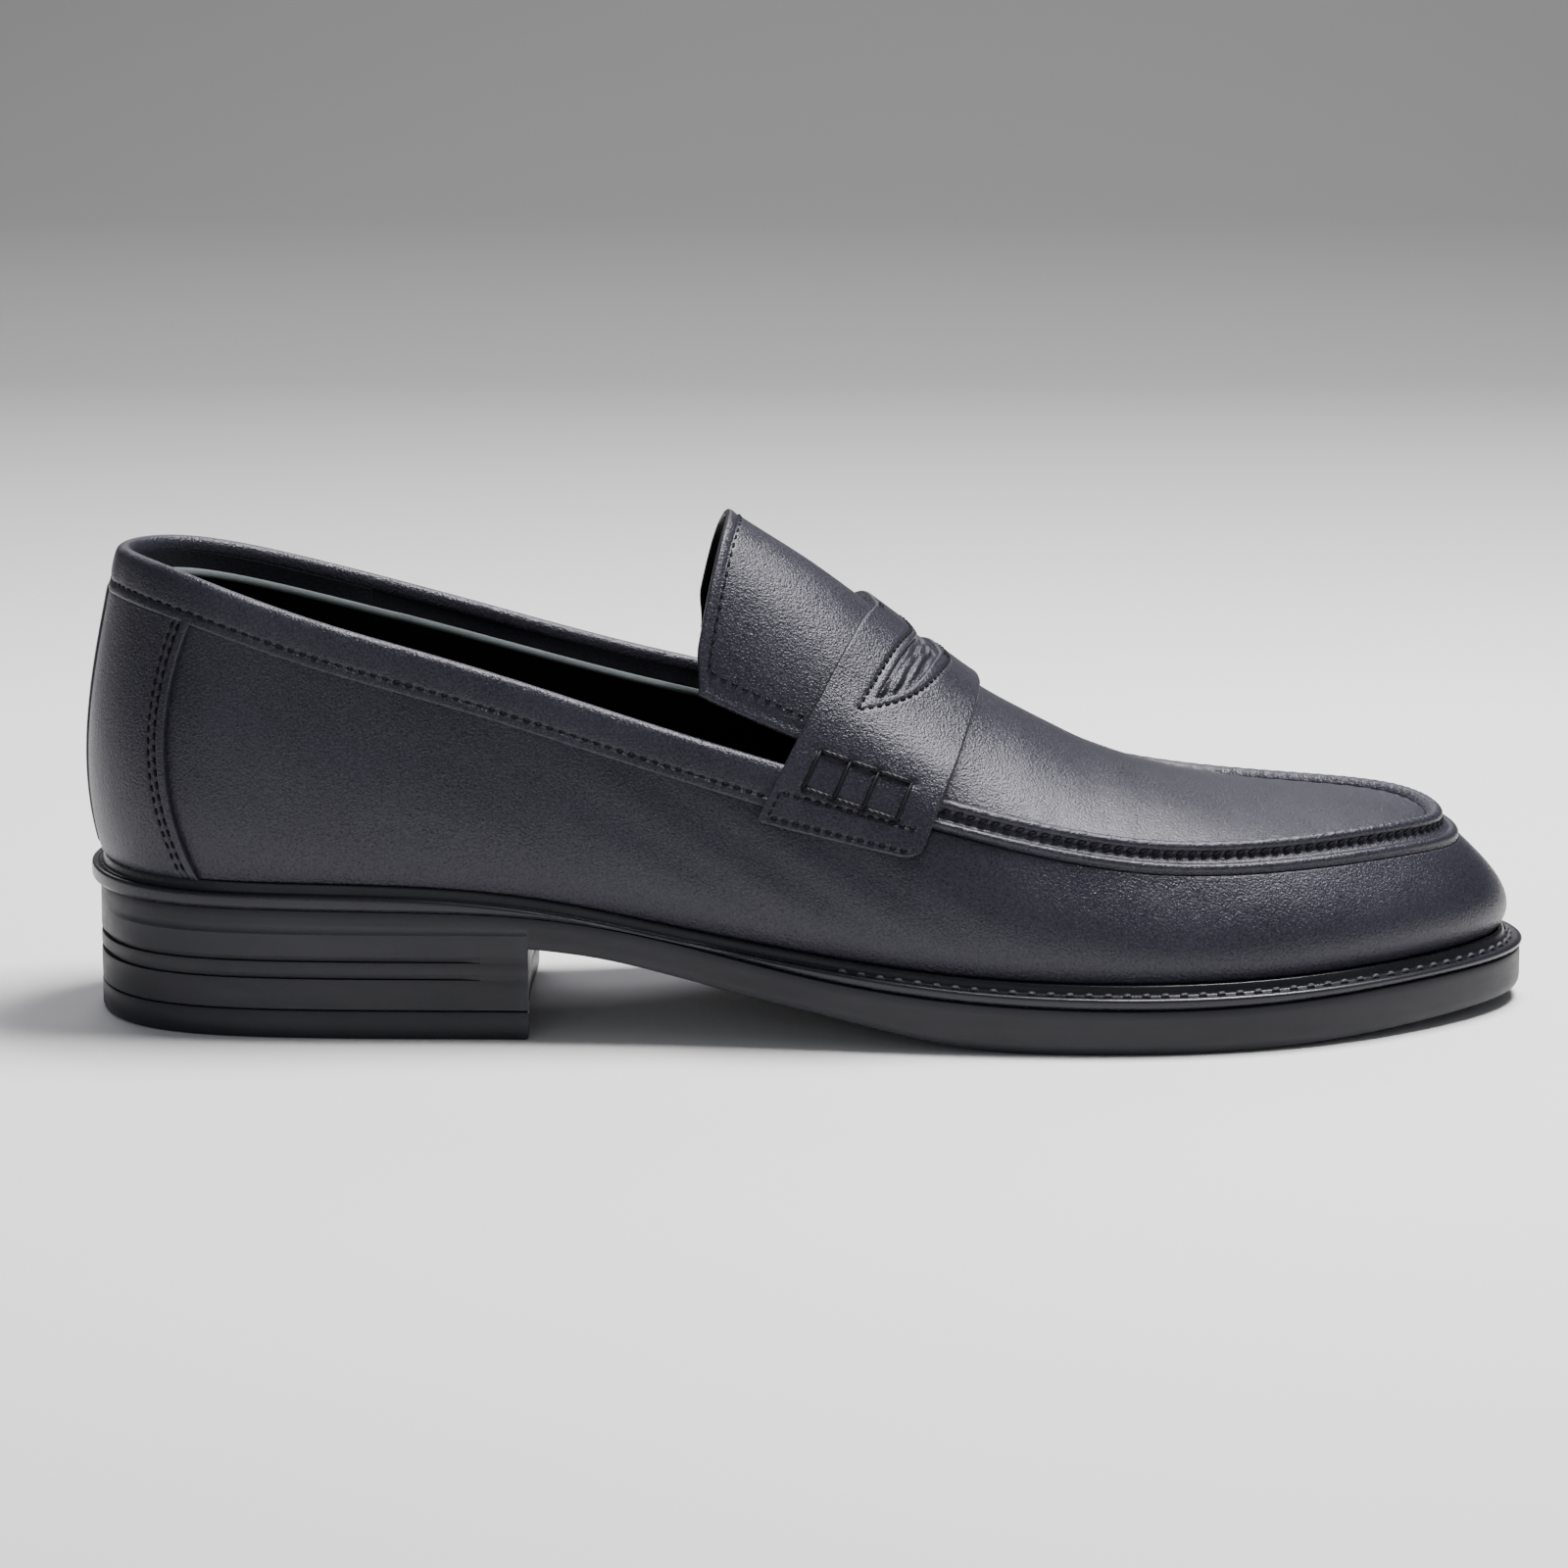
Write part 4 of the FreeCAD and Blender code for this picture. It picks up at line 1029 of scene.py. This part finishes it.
def strap_part(f, rear, front, end):
    """Closed run of strap between two edges w; end marks which of its ends is cut, if any."""
    share = fine(0, 1, 76, edge=0.02)[None, :]
    w = rear[:, None] + (front - rear)[:, None] * share
    f = np.repeat(f[:, None], share.shape[1], 1)
    base = strap_at(f, w, 0)
    e = from_sides(distance_along(base, 1), 1)
    if end:
        run = distance_along(base)
        e = np.minimum(e, run if end < 0 else run[-1] - run)
    outer = strap_at(f, w, crowned(e, STRAP_ROUND) + strap_relief(f, w))
    inner = strap_at(f, w, -STRAP_THICK)
    return closed_panel("part", outer[:, ::-1], inner[:, ::-1], STRAP_LEATHER)


def strap_piece():
    """Strap with a true opening: whole beyond the slot's tips, two limbs beside it."""
    end = fine(SLOT_TIP, 1, 150, edge=0.008)
    middle = SLOT_TIP * np.sin(np.linspace(-np.pi / 2, np.pi / 2, 161))
    parts = [strap_part(-end[::-1], 0 * end, 1 + 0 * end, -1),
             strap_part(end, 0 * end, 1 + 0 * end, 1),
             strap_part(middle, 0 * middle, slot_rear_w(middle), 0),
             strap_part(middle, slot_front_w(middle), 1 + 0 * middle, 0)]
    join(*parts)
    parts[0].name = "strap_leather"
    stand_for(parts[0], "upper_leather", "strap")


def slot_lining():
    """Soft leather seen through the slot, gathered in folds."""
    f, w = grid(np.linspace(-0.52, 0.52, 220), np.linspace(0.22, 0.74, 90))
    fold = 0.55 * np.sin(w * 62 + f * 20 + 1.6 * np.sin(f * 11)) + 0.35 * np.sin(w * 105 - f * 14 + 1.3)
    fold += 0.25 * np.sin(f * 47 + w * 25)
    inside = smooth((slot_front_w(f) + 0.06 - w) / 0.08) * smooth((w - slot_rear_w(f) + 0.06) / 0.08)
    under_front = smooth((w - slot_front_w(f) + 0.09) / 0.06)
    height = np.maximum(-1.05 + 0.36 * fold * inside - 0.5 * under_front, -1.7)
    outer = strap_at(f, w, height)
    inner = strap_at(f, w, -1.85)
    piece = closed_panel("slot_lining", outer[:, ::-1], inner[:, ::-1], SOFT_LEATHER, 70)
    stand_for(piece, "upper_leather", "slot_underlay")


def strap_line(f, w, lift):
    """Line on the strap's face, with its outward directions."""
    f, w = pair(f, w)
    return strap_at(f, w, lift), strap_normal(f, w)


def slot_stitches():
    """Two rows beside the slot, and a small thread tack at each edge on the crown."""
    lines = [strap_line(f, w, -0.12) for f, w in slot_seams()]
    for w in CROWN_TACKS:
        for offset in (-0.013, 0.013):
            lines.append(strap_line([-0.022, 0.022], [w + offset, w + offset], 0.22))
    row = stitches("slot_stitches", lines, 2.0, 1.45, 0.26, THREAD)
    stand_for(row, "thread", "slot_stitching")


def strap_end_stitches():
    w = np.linspace(0.06, 0.925, 60)
    up = np.linspace(*END_ROWS, 20)
    for side, word in SIDES:
        lines = [strap_line(-side * END_ROWS[0], w, -0.06), strap_line(-side * END_ROWS[1], w, -0.06),
                 strap_line(-side * up, 0.055, -0.02)]
        row = stitches("strap_end_stitches_" + word, lines, 2.2, 1.55, 0.27, THREAD)
        stand_for(row, "thread", "strap_end_stitching_" + word)


def lacing_path(points, lift, sink):
    """Cord that comes out of the leather, runs over it and goes back in."""
    f, w = np.array(points, float).T
    t = np.linspace(0, 1, 23)
    f = np.interp(t, np.linspace(0, 1, len(f)), f)
    w = np.interp(t, np.linspace(0, 1, len(w)), w)
    height = lift - sink * np.abs(2 * t - 1) ** 6
    return strap_at(f, w, height)


def lacing_runs(side):
    """Cord between neighbouring holes: along both rails, and across for each rung."""
    runs = []
    past = 0.006
    for k in (0, 1):
        for left, right in zip(LACE_COLUMNS, LACE_COLUMNS[1:]):
            ends = (lace_rail(k, left), left - past), (lace_rail(k, right), right + past)
            runs.append((ends, 0.5))
    for c in LACE_COLUMNS:
        runs.append((((lace_rail(0, c) - past, c), (lace_rail(1, c) + past, c)), 0.45))
    return [([(-side * f, w) for f, w in ends], radius) for ends, radius in runs]


def lacing():
    """Ladder of thick waxed cord through each end of the strap: two rails, four rungs."""
    for side, word in SIDES:
        vertices, faces = [], []
        for points, radius in lacing_runs(side):
            rings = tube(lacing_path(points, radius * 0.5, radius * 2.6), radius)
            first = sum(len(v) for v in vertices)
            vertices.append(rings.reshape(-1, 3))
            faces += capped_skin(rings, first)
        cord = mesh_object("strap_lacing_cord_" + word, np.concatenate(vertices), faces, CORD, SOFT_ANGLE)
        stand_for(cord, "cord", "strap_lacing_" + word)


# ---- inside -----------------------------------------------------------------

def lining_depth(down):
    return LINING_NEAR_TOP + (LINING_DEPTH - LINING_NEAR_TOP) * smooth((down - 1.5) / 6)


def inner_wall(station, down):
    """Face of the lining, by distance below the top."""
    normal = -normals(wall_down, station, down)
    return wall_down(station, down) - normal * lining_depth(down)[..., None]


LINING_REACH = 0.97


def lining(name, start, end, lift, node):
    """Leather on the inside of the wall, from just under its top to near the sock."""
    a = fine(start, end, int(abs(end - start) * 24))
    share = fine(0, 1, 40)
    station = np.repeat(a[:, None], len(share), 1)
    down = LINING_TOP + (wall_height(a)[:, None] * LINING_REACH - LINING_TOP) * share[None, :]
    base = inner_wall(station, down)
    inward = normals(wall_down, station, down)
    soft = 0.12 * np.sin(base[..., 0] * 0.17 + base[..., 2] * 0.3)
    outer = base + inward * (lift + soft)[..., None]
    inner = base + inward * (lift - 0.9)
    stand_for(closed_panel(name, outer, inner, LINING), "lining", node)


def linings():
    lining("heel_grip_lining", -2.35, 2.35, 0.35, "heel_grip")
    lining("quarter_lining_lateral_leather", 2.3, 6.1, 0.0, "quarter_lining_lateral")
    lining("quarter_lining_medial_leather", -6.1, -2.3, 0.0, "quarter_lining_medial")


def lining_tape():
    """Pale cut edge that runs round the inside a little below the topline."""
    a = np.linspace(-5.45, 5.45, 300)
    outline = rounded(TAPE_OUTLINE)
    station, down = grid(a, outline[:, 0])
    inward = normals(wall_down, station, down)
    lift = outline[None, :, 1] + 0.35 * smooth((2.6 - np.abs(a)) / 0.2)[:, None]
    sections = inner_wall(station, down) + inward * lift[..., None]
    tape = ribbon("lining_edge", sections[:, ::-1], TAPE)
    stand_for(tape, "tape", "lining_edge_tape")


SOCK_INSET = 4.1


def sock_surface(station, across):
    """Footbed: a gentle cup behind, nearly flat in front."""
    station, across = pair(station, across)
    edges = []
    for s in (station, -station):
        edges.append(plan_point(s) - outward(s) * SOCK_INSET)
    side = ((1 + across) / 2)[..., None]
    point = edges[0] * (1 - side) + edges[1] * side
    x = point[..., 0]
    rear = smooth((-40 - x) / 40)
    point[..., 2] = welt_top(x) + 0.8 + 2.8 * rear + 1.6 * np.abs(across) ** 3 * smooth((40 - x) / 60)
    return point


def footbed():
    a = fine(0.12, 9.9, 170)
    b = fine(-1, 1, 60, edge=0.03)
    station, across = grid(a, b)
    outer = sock_surface(station, across)
    outer[..., 2] += 0.15 * np.sin(outer[..., 0] * 0.09) * (1 - across ** 2)
    inner = outer.copy()
    inner[..., 2] -= 1.2
    sock = closed_panel("sock_leather_footbed", outer, inner, SOCK)
    stand_for(sock, "lining", "forefoot_sock", "heel_sock")


# ---- sole -------------------------------------------------------------------

def outsole_edge(station):
    x = feather(station)[..., 0]
    blend = smooth((x - HEEL_BREAST) / BLEND_LENGTH)
    return sole_edge(station) - HEEL_INSET * (1 - blend) - FOREPART_INSET * blend


def sole_point(station, distance, z):
    """Point at a level distance outside the feather line, at height z."""
    point = plan_point(station) + outward(station) * np.asarray(distance)[..., None]
    point[..., 2] = z
    return point


def welt_fit(station):
    """How far the bead and channel are squeezed where the welt is narrow."""
    return np.minimum(1, (sole_edge(station) - 1.7) / 3.95)


def welt_piece():
    """Storm welt: a bead against the upper, a stitched channel and a rounded edge."""
    a = np.linspace(0, STATIONS, 600, endpoint=False)
    edge = sole_edge(a)
    x = feather(a)[..., 0]
    high, low = welt_top(x), sole_top(x)
    fit = welt_fit(a)
    bead = [(0.35, low + 0.3), (0.5, high - 1.6), (0.75, high - 0.55), (1.15, high - 0.08),
            (1.65, high), (2.1, high - 0.28), (2.4, high - 0.95), (2.65, high - 1.6),
            (3.1, high - 2.15), (3.95, high - 2.2)]
    rim = [(edge - 1.5, high - 2.02), (edge - 0.9, high - 1.95), (edge - 0.35, high - 2.1),
           (edge - 0.02, high - 2.5), (edge, (high + low) / 2 - 0.7), (edge - 0.1, low + 0.75),
           (edge - 0.5, low + 0.3), (edge - 1.0, low + 0.05), (edge - 2.4 * fit, low + 0.02)]
    outline = [(d * fit, z) for d, z in bead] + rim
    points = np.array([sole_point(a, np.broadcast_to(d, a.shape), z) for d, z in outline])
    sections = rounded(points).transpose(1, 0, 2)
    welt = ribbon("storm_welt", sections, WELT_RUBBER, closed=True)
    stand_for(welt, "rubber", "welt")


def welt_stitches():
    a = np.linspace(5.15, 14.85, 900)
    x = feather(a)[..., 0]
    points = sole_point(a, 3.6 * welt_fit(a), welt_top(x) - 2.0)
    normal = unit(outward(a) * 0.25 + np.array([0, 0, 1.0]))
    row = stitches("welt_stitches", [(points, normal)], WELT_STITCH, 2.1, 0.5, WELT_THREAD)
    stand_for(row, "sole_thread", "welt_stitching")


TREAD_PITCH = 6.4
TREAD_RISE = 1.3
FOREPART_TREAD = (18, 132)
HEEL_TREAD = (-138, -66)
HEEL_BAR = 3.8
BAR_REACH = 0.78


def tread(x, across, start, end):
    """Upward grooves between cross bars, kept inside a plain rim."""
    phase = ((x - start) / TREAD_PITCH) % 1
    groove = smooth((0.36 - np.abs(phase - 0.5)) / 0.07 - 2.4)
    inside = smooth((0.84 - np.abs(across)) / 0.03) * (x > start) * (x < end)
    return TREAD_RISE * groove * inside


def outsole_piece():
    """Moulded sole: rounded bottom corner, side wall, grooves' ledge under the welt, tread."""
    half = np.concatenate([np.linspace(0.0, 10.0, 700), breast_station(1) + np.array([-0.0005, 0.0005])])
    half = np.sort(half)
    a = np.concatenate([half, STATIONS - half[1:-1][::-1]])
    x = feather(a)[..., 0]
    edge = outsole_edge(a)
    low, high = sole_bottom(x), sole_top(x)
    free = (x > HEEL_BREAST) * 1.0
    low = low * free + HEEL_JOIN * (1 - free)
    face = edge - 0.05
    outline = [(-9.0, high - 0.4), (edge - 1.6, high - 0.05), (edge - 0.7, high - 0.1),
               (edge - 0.25, high - 0.4), (edge - 0.06, high - 1.0), (face, high - 2.2),
               (face, low * 0.6 + high * 0.4), (face, low + 2.2 * free),
               (face - 0.1 * free, low + 1.2 * free), (face - 0.5 * free, low + 0.35 * free),
               (face - 1.25 * free, low + 0.03 * free), (face - 2.15 * free, low)]
    side = np.array([sole_point(a, np.broadcast_to(d, a.shape), z) for d, z in outline])
    n = len(half)
    rim = np.linspace(0.8, 0.88, 9)
    v = np.unique(np.round(np.concatenate([np.linspace(-1, 1, 41), rim, -rim]), 4))
    share = ((1 + v) / 2)[None, :, None]
    opposite = np.concatenate([[0], np.arange(len(a) - 1, n - 1, -1), [n - 1]])
    bottom, roof = (ring[:n, None] * (1 - share) + ring[opposite, None] * share
                    for ring in (side[-1], side[0]))
    behind = (bottom[..., 0] <= HEEL_BREAST)
    bottom[..., 2] = np.where(behind, HEEL_JOIN, sole_bottom(bottom[..., 0]))
    bottom[..., 2] += tread(bottom[..., 0], v[None, :], *FOREPART_TREAD)
    vertices = np.concatenate([side.reshape(-1, 3), bottom.reshape(-1, 3), roof.reshape(-1, 3)])
    faces = grid_faces(len(outline), len(a), close_columns=True)
    faces += grid_faces(n, len(v), len(outline) * len(a), flip=True)
    faces += grid_faces(n, len(v), len(outline) * len(a) + n * len(v))
    sole = mesh_object("moulded_outsole", vertices, faces, RUBBER, HARD_ANGLE)
    weld(sole, 0.02)
    return sole


def weld(obj, distance):
    """Joins the points that two parts of a mesh share."""
    bm = bmesh.new()
    bm.from_mesh(obj.data)
    bmesh.ops.remove_doubles(bm, verts=bm.verts, dist=distance * MM)
    bmesh.ops.recalc_face_normals(bm, faces=bm.faces)
    bm.to_mesh(obj.data)
    bm.free()


def breast_station(side):
    s = np.linspace(2, 5, 3000)
    return side * np.interp(HEEL_BREAST, feather(side * s)[:, 0], s)


def heel_outline(inset):
    """Plan of the heel block: round behind, straight breast with small corners."""
    s = np.linspace(breast_station(-1), breast_station(1), 150)
    points = sole_point(s, outsole_edge(s) - inset - 0.05, 0 * s)[:, :2]
    points[:, 0] = np.minimum(points[:, 0], HEEL_BREAST - inset)
    first, last = points[0], points[-1]
    share = np.linspace(0, 1, 40)[1:-1, None]
    breast = last * (1 - share) + first * share
    return np.concatenate([points, breast])


def heel_section(levels):
    """Stack of heel outlines, each a (height, inset, groove share) row."""
    rings = []
    for z, inset, groove in levels:
        ring = heel_outline(inset)
        reach = smooth((GROOVE_FRONT - ring[:, 0]) / 2.0)
        centre = np.array([-100.0, ring[:, 1].mean()])
        way = unit(ring - centre)
        ring = ring - way * (groove * reach)[:, None]
        middle = np.exp(-((ring[:, 1] - centre[1]) / 22) ** 4) * smooth((ring[:, 0] + 59.5) / 1.5)
        ring[:, 0] -= BREAST_HOLLOW * middle
        rings.append(np.concatenate([ring, np.full((len(ring), 1), z)], -1))
    return np.array(rings)


def heel_block():
    levels = [(TOP_LIFT + 0.05, 1.2, 0), (TOP_LIFT + 0.05, 0.45, 0), (TOP_LIFT + 0.35, 0.08, 0),
              (9.0, 0.0, 0)]
    for low in GROOVES:
        high = low + GROOVE_WIDTH
        levels += [(low - 0.25, 0, 0), (low, 0.05, 0), (low + 0.12, 0.05, GROOVE_DEPTH),
                   (high - 0.12, 0.05, GROOVE_DEPTH), (high, 0.05, 0), (high + 0.25, 0, 0)]
    levels += [(HEEL_JOIN, 0, 0)]
    rings = heel_section(levels)
    block = mesh_object("heel_block", rings, capped_skin(rings, flip=True), RUBBER, HARD_ANGLE)
    weld(block, 0.001)
    return block


def top_lift():
    levels = [(0.0, 1.3, 0), (0.05, 0.75, 0), (0.3, 0.3, 0), (0.9, 0.05, 0),
              (TOP_LIFT - 0.4, 0.0, 0), (TOP_LIFT - 0.12, 0.15, 0), (TOP_LIFT - 0.05, 0.5, 0)]
    rings = heel_section(levels)
    rear, front = rings[0][:, 0].min(), rings[0][:, 0].max()
    count = rings.shape[1]
    faces = grid_faces(len(rings), count, close_columns=True, flip=True)
    faces.append(caps(len(rings), count)[1])
    first = len(rings) * count
    centre = np.array([(rear + front) / 2, rings[0][:, 1].mean(), 0])
    shells = []
    for share, z in ((1.0, 0), (0.86, 0), (0.83, 0.9), (0.80, 0.9)):
        ring = centre + (rings[0] - centre) * share
        ring[:, 2] = z
        shells.append(ring)
    vertices = np.concatenate([rings.reshape(-1, 3)] + shells)
    faces += grid_faces(len(shells), count, first, close_columns=True)
    faces.append(caps(len(shells), count, first)[1])
    lift = mesh_object("heel_top_lift_rubber", vertices, faces, RUBBER, HARD_ANGLE)
    weld(lift, 0.001)
    bars = heel_bars(rings[0], centre)
    join(lift, bars)
    stand_for(lift, "rubber", "heel_top_lift")


def heel_bars(outline, centre):
    """Cross bars of the heel's tread, standing in its sunk field."""
    vertices, faces = [], []
    for x in np.arange(*HEEL_TREAD, TREAD_PITCH):
        ys = outline[np.abs(outline[:, 0] - x - TREAD_PITCH * 0.3) < 3][:, 1]
        if len(ys) == 0:
            continue
        low, high = (y * BAR_REACH + centre[1] * (1 - BAR_REACH) for y in (ys.min(), ys.max()))
        box = [(x, low), (x + HEEL_BAR, low), (x + HEEL_BAR, high), (x, high)]
        first = len(vertices)
        for z, grow in ((0.95, 0.0), (0.12, 0.0), (0.0, -0.2)):
            for (px, py), along, beside in zip(box, (-1, 1, 1, -1), (-1, -1, 1, 1)):
                vertices.append((px - grow * along, py - grow * beside, z))
        for row in (first, first + 4):
            for k in range(4):
                j = (k + 1) % 4
                faces.append([row + k, row + j, row + 4 + j, row + 4 + k])
        faces.append([first + 8, first + 9, first + 10, first + 11])
        faces.append([first + 3, first + 2, first + 1, first])
    bars = mesh_object("bars", np.array(vertices), faces, RUBBER, HARD_ANGLE)
    weld(bars, 0.001)
    return bars


def join(target, *others):
    """Makes one object of several, under the first one's name."""
    bpy.ops.object.select_all(action="DESELECT")
    for obj in (target,) + others:
        obj.select_set(True)
    bpy.context.view_layer.objects.active = target
    bpy.ops.object.join()


def hidden_materials():
    """Pieces inside the shoe keep their CAD shape and take a real material."""
    chosen = {"shank": STEEL, "bottom_filler": CORK, "insole_board": BOARD, "heel_pad": FOAM,
              "heel_counter": BOARD, "toe_puff": BOARD, "collar_padding_lateral": FOAM,
              "collar_padding_medial": FOAM, "vamp_lining": LINING, "apron_lining": LINING}
    for name, material in chosen.items():
        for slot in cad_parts[name].material_slots:
            slot.material = material


# ---- stage ------------------------------------------------------------------

def stage():
    floor_mesh = bpy.data.meshes.new("floor")
    reach, rise, bend = 1.6, 1.5, 0.35
    profile = [(-2.4, 0.0), (reach - bend, 0.0)]
    for t in np.linspace(0.15, math.pi / 2, 10):
        profile.append((reach - bend + bend * math.sin(t), bend - bend * math.cos(t)))
    profile += [(reach, rise)]
    vertices = [(x, y, z) for y, z in profile for x in (-3, 3)]
    faces = [(2 * i, 2 * i + 1, 2 * i + 3, 2 * i + 2) for i in range(len(profile) - 1)]
    floor_mesh.from_pydata(vertices, [], faces)
    floor_mesh.shade_smooth()
    floor = bpy.data.objects.new("floor", floor_mesh)
    bpy.context.scene.collection.objects.link(floor)
    n = Nodes("pale_floor")
    split = n.tree.nodes.new("ShaderNodeSeparateXYZ")
    n.link(n.place, split.inputs[0])
    cloud = n.ramp(n.noise(3, 3, 0.5), [(0.3, (0.84, 0.84, 0.83)), (0.7, (0.88, 0.88, 0.87))])
    # The floor darkens from pale to mid grey towards the back: painted shade, so the backdrop reads
    # dimmer.
    away = n.range(split.outputs["Y"], 0.3, 0.85, 0, 1)
    floor_mesh.materials.append(n.set(Base_Color=n.mix(away, cloud, (0.31, 0.31, 0.306)), Roughness=0.6))


def area_light(name, place, target, size, energy, colour):
    light = bpy.data.lights.new(name, "AREA")
    light.shape = "RECTANGLE"
    light.size, light.size_y = size
    light.energy = energy
    light.color = colour
    obj = bpy.data.objects.new(name, light)
    obj.location = place
    aim(obj, target)
    bpy.context.scene.collection.objects.link(obj)


def aim(obj, target):
    way = Vector(target) - Vector(obj.location)
    obj.rotation_euler = way.to_track_quat("-Z", "Y").to_euler()


def studio():
    world = bpy.data.worlds.new("studio")
    bpy.context.scene.world = world
    world.use_nodes = True
    background = world.node_tree.nodes["Background"]
    background.inputs["Color"].default_value = (0.82, 0.84, 0.9, 1)
    background.inputs["Strength"].default_value = 0.24
    area_light("overhead", (0.30, 0.15, 1.0), (0.03, 0, 0.05), (0.50, 0.34), 30, (1.0, 0.99, 0.99))
    area_light("front_fill", (-0.4, -1.7, 0.55), (0, 0, 0.04), (1.3, 0.8), 2.5, (0.93, 0.94, 1.0))
    area_light("rear_rim", (-0.3, 1.1, 0.8), (0, 0, 0.06), (1.2, 0.5), 6, (0.95, 0.93, 1.0))


def camera():
    distance, elevation = 1.5, math.radians(12)
    target = (-0.005, -0.0025, 0.0466)
    data = bpy.data.cameras.new("camera")
    data.sensor_width = 36
    data.lens = 164.6
    data.clip_end = 20
    obj = bpy.data.objects.new("camera", data)
    back, up = distance * math.cos(elevation), distance * math.sin(elevation)
    obj.location = (target[0], target[1] - back, target[2] + up)
    aim(obj, target)
    bpy.context.scene.collection.objects.link(obj)
    bpy.context.scene.camera = obj


upper_wall()
heel_foxing()
foxing_stitches()
back_strip()
topline_band()
topline_stitches()
apron_seam()
apron_seam_stitches()
apron_plug()
tongue_panel()
tongue_back()
tongue_stitches()
strap_piece()
slot_lining()
slot_stitches()
strap_end_stitches()
lacing()
linings()
lining_tape()
footbed()
welt_piece()
welt_stitches()
sole = outsole_piece()
join(sole, heel_block())
stand_for(sole, "rubber", "outsole")
top_lift()
hidden_materials()
stage()
studio()
camera()
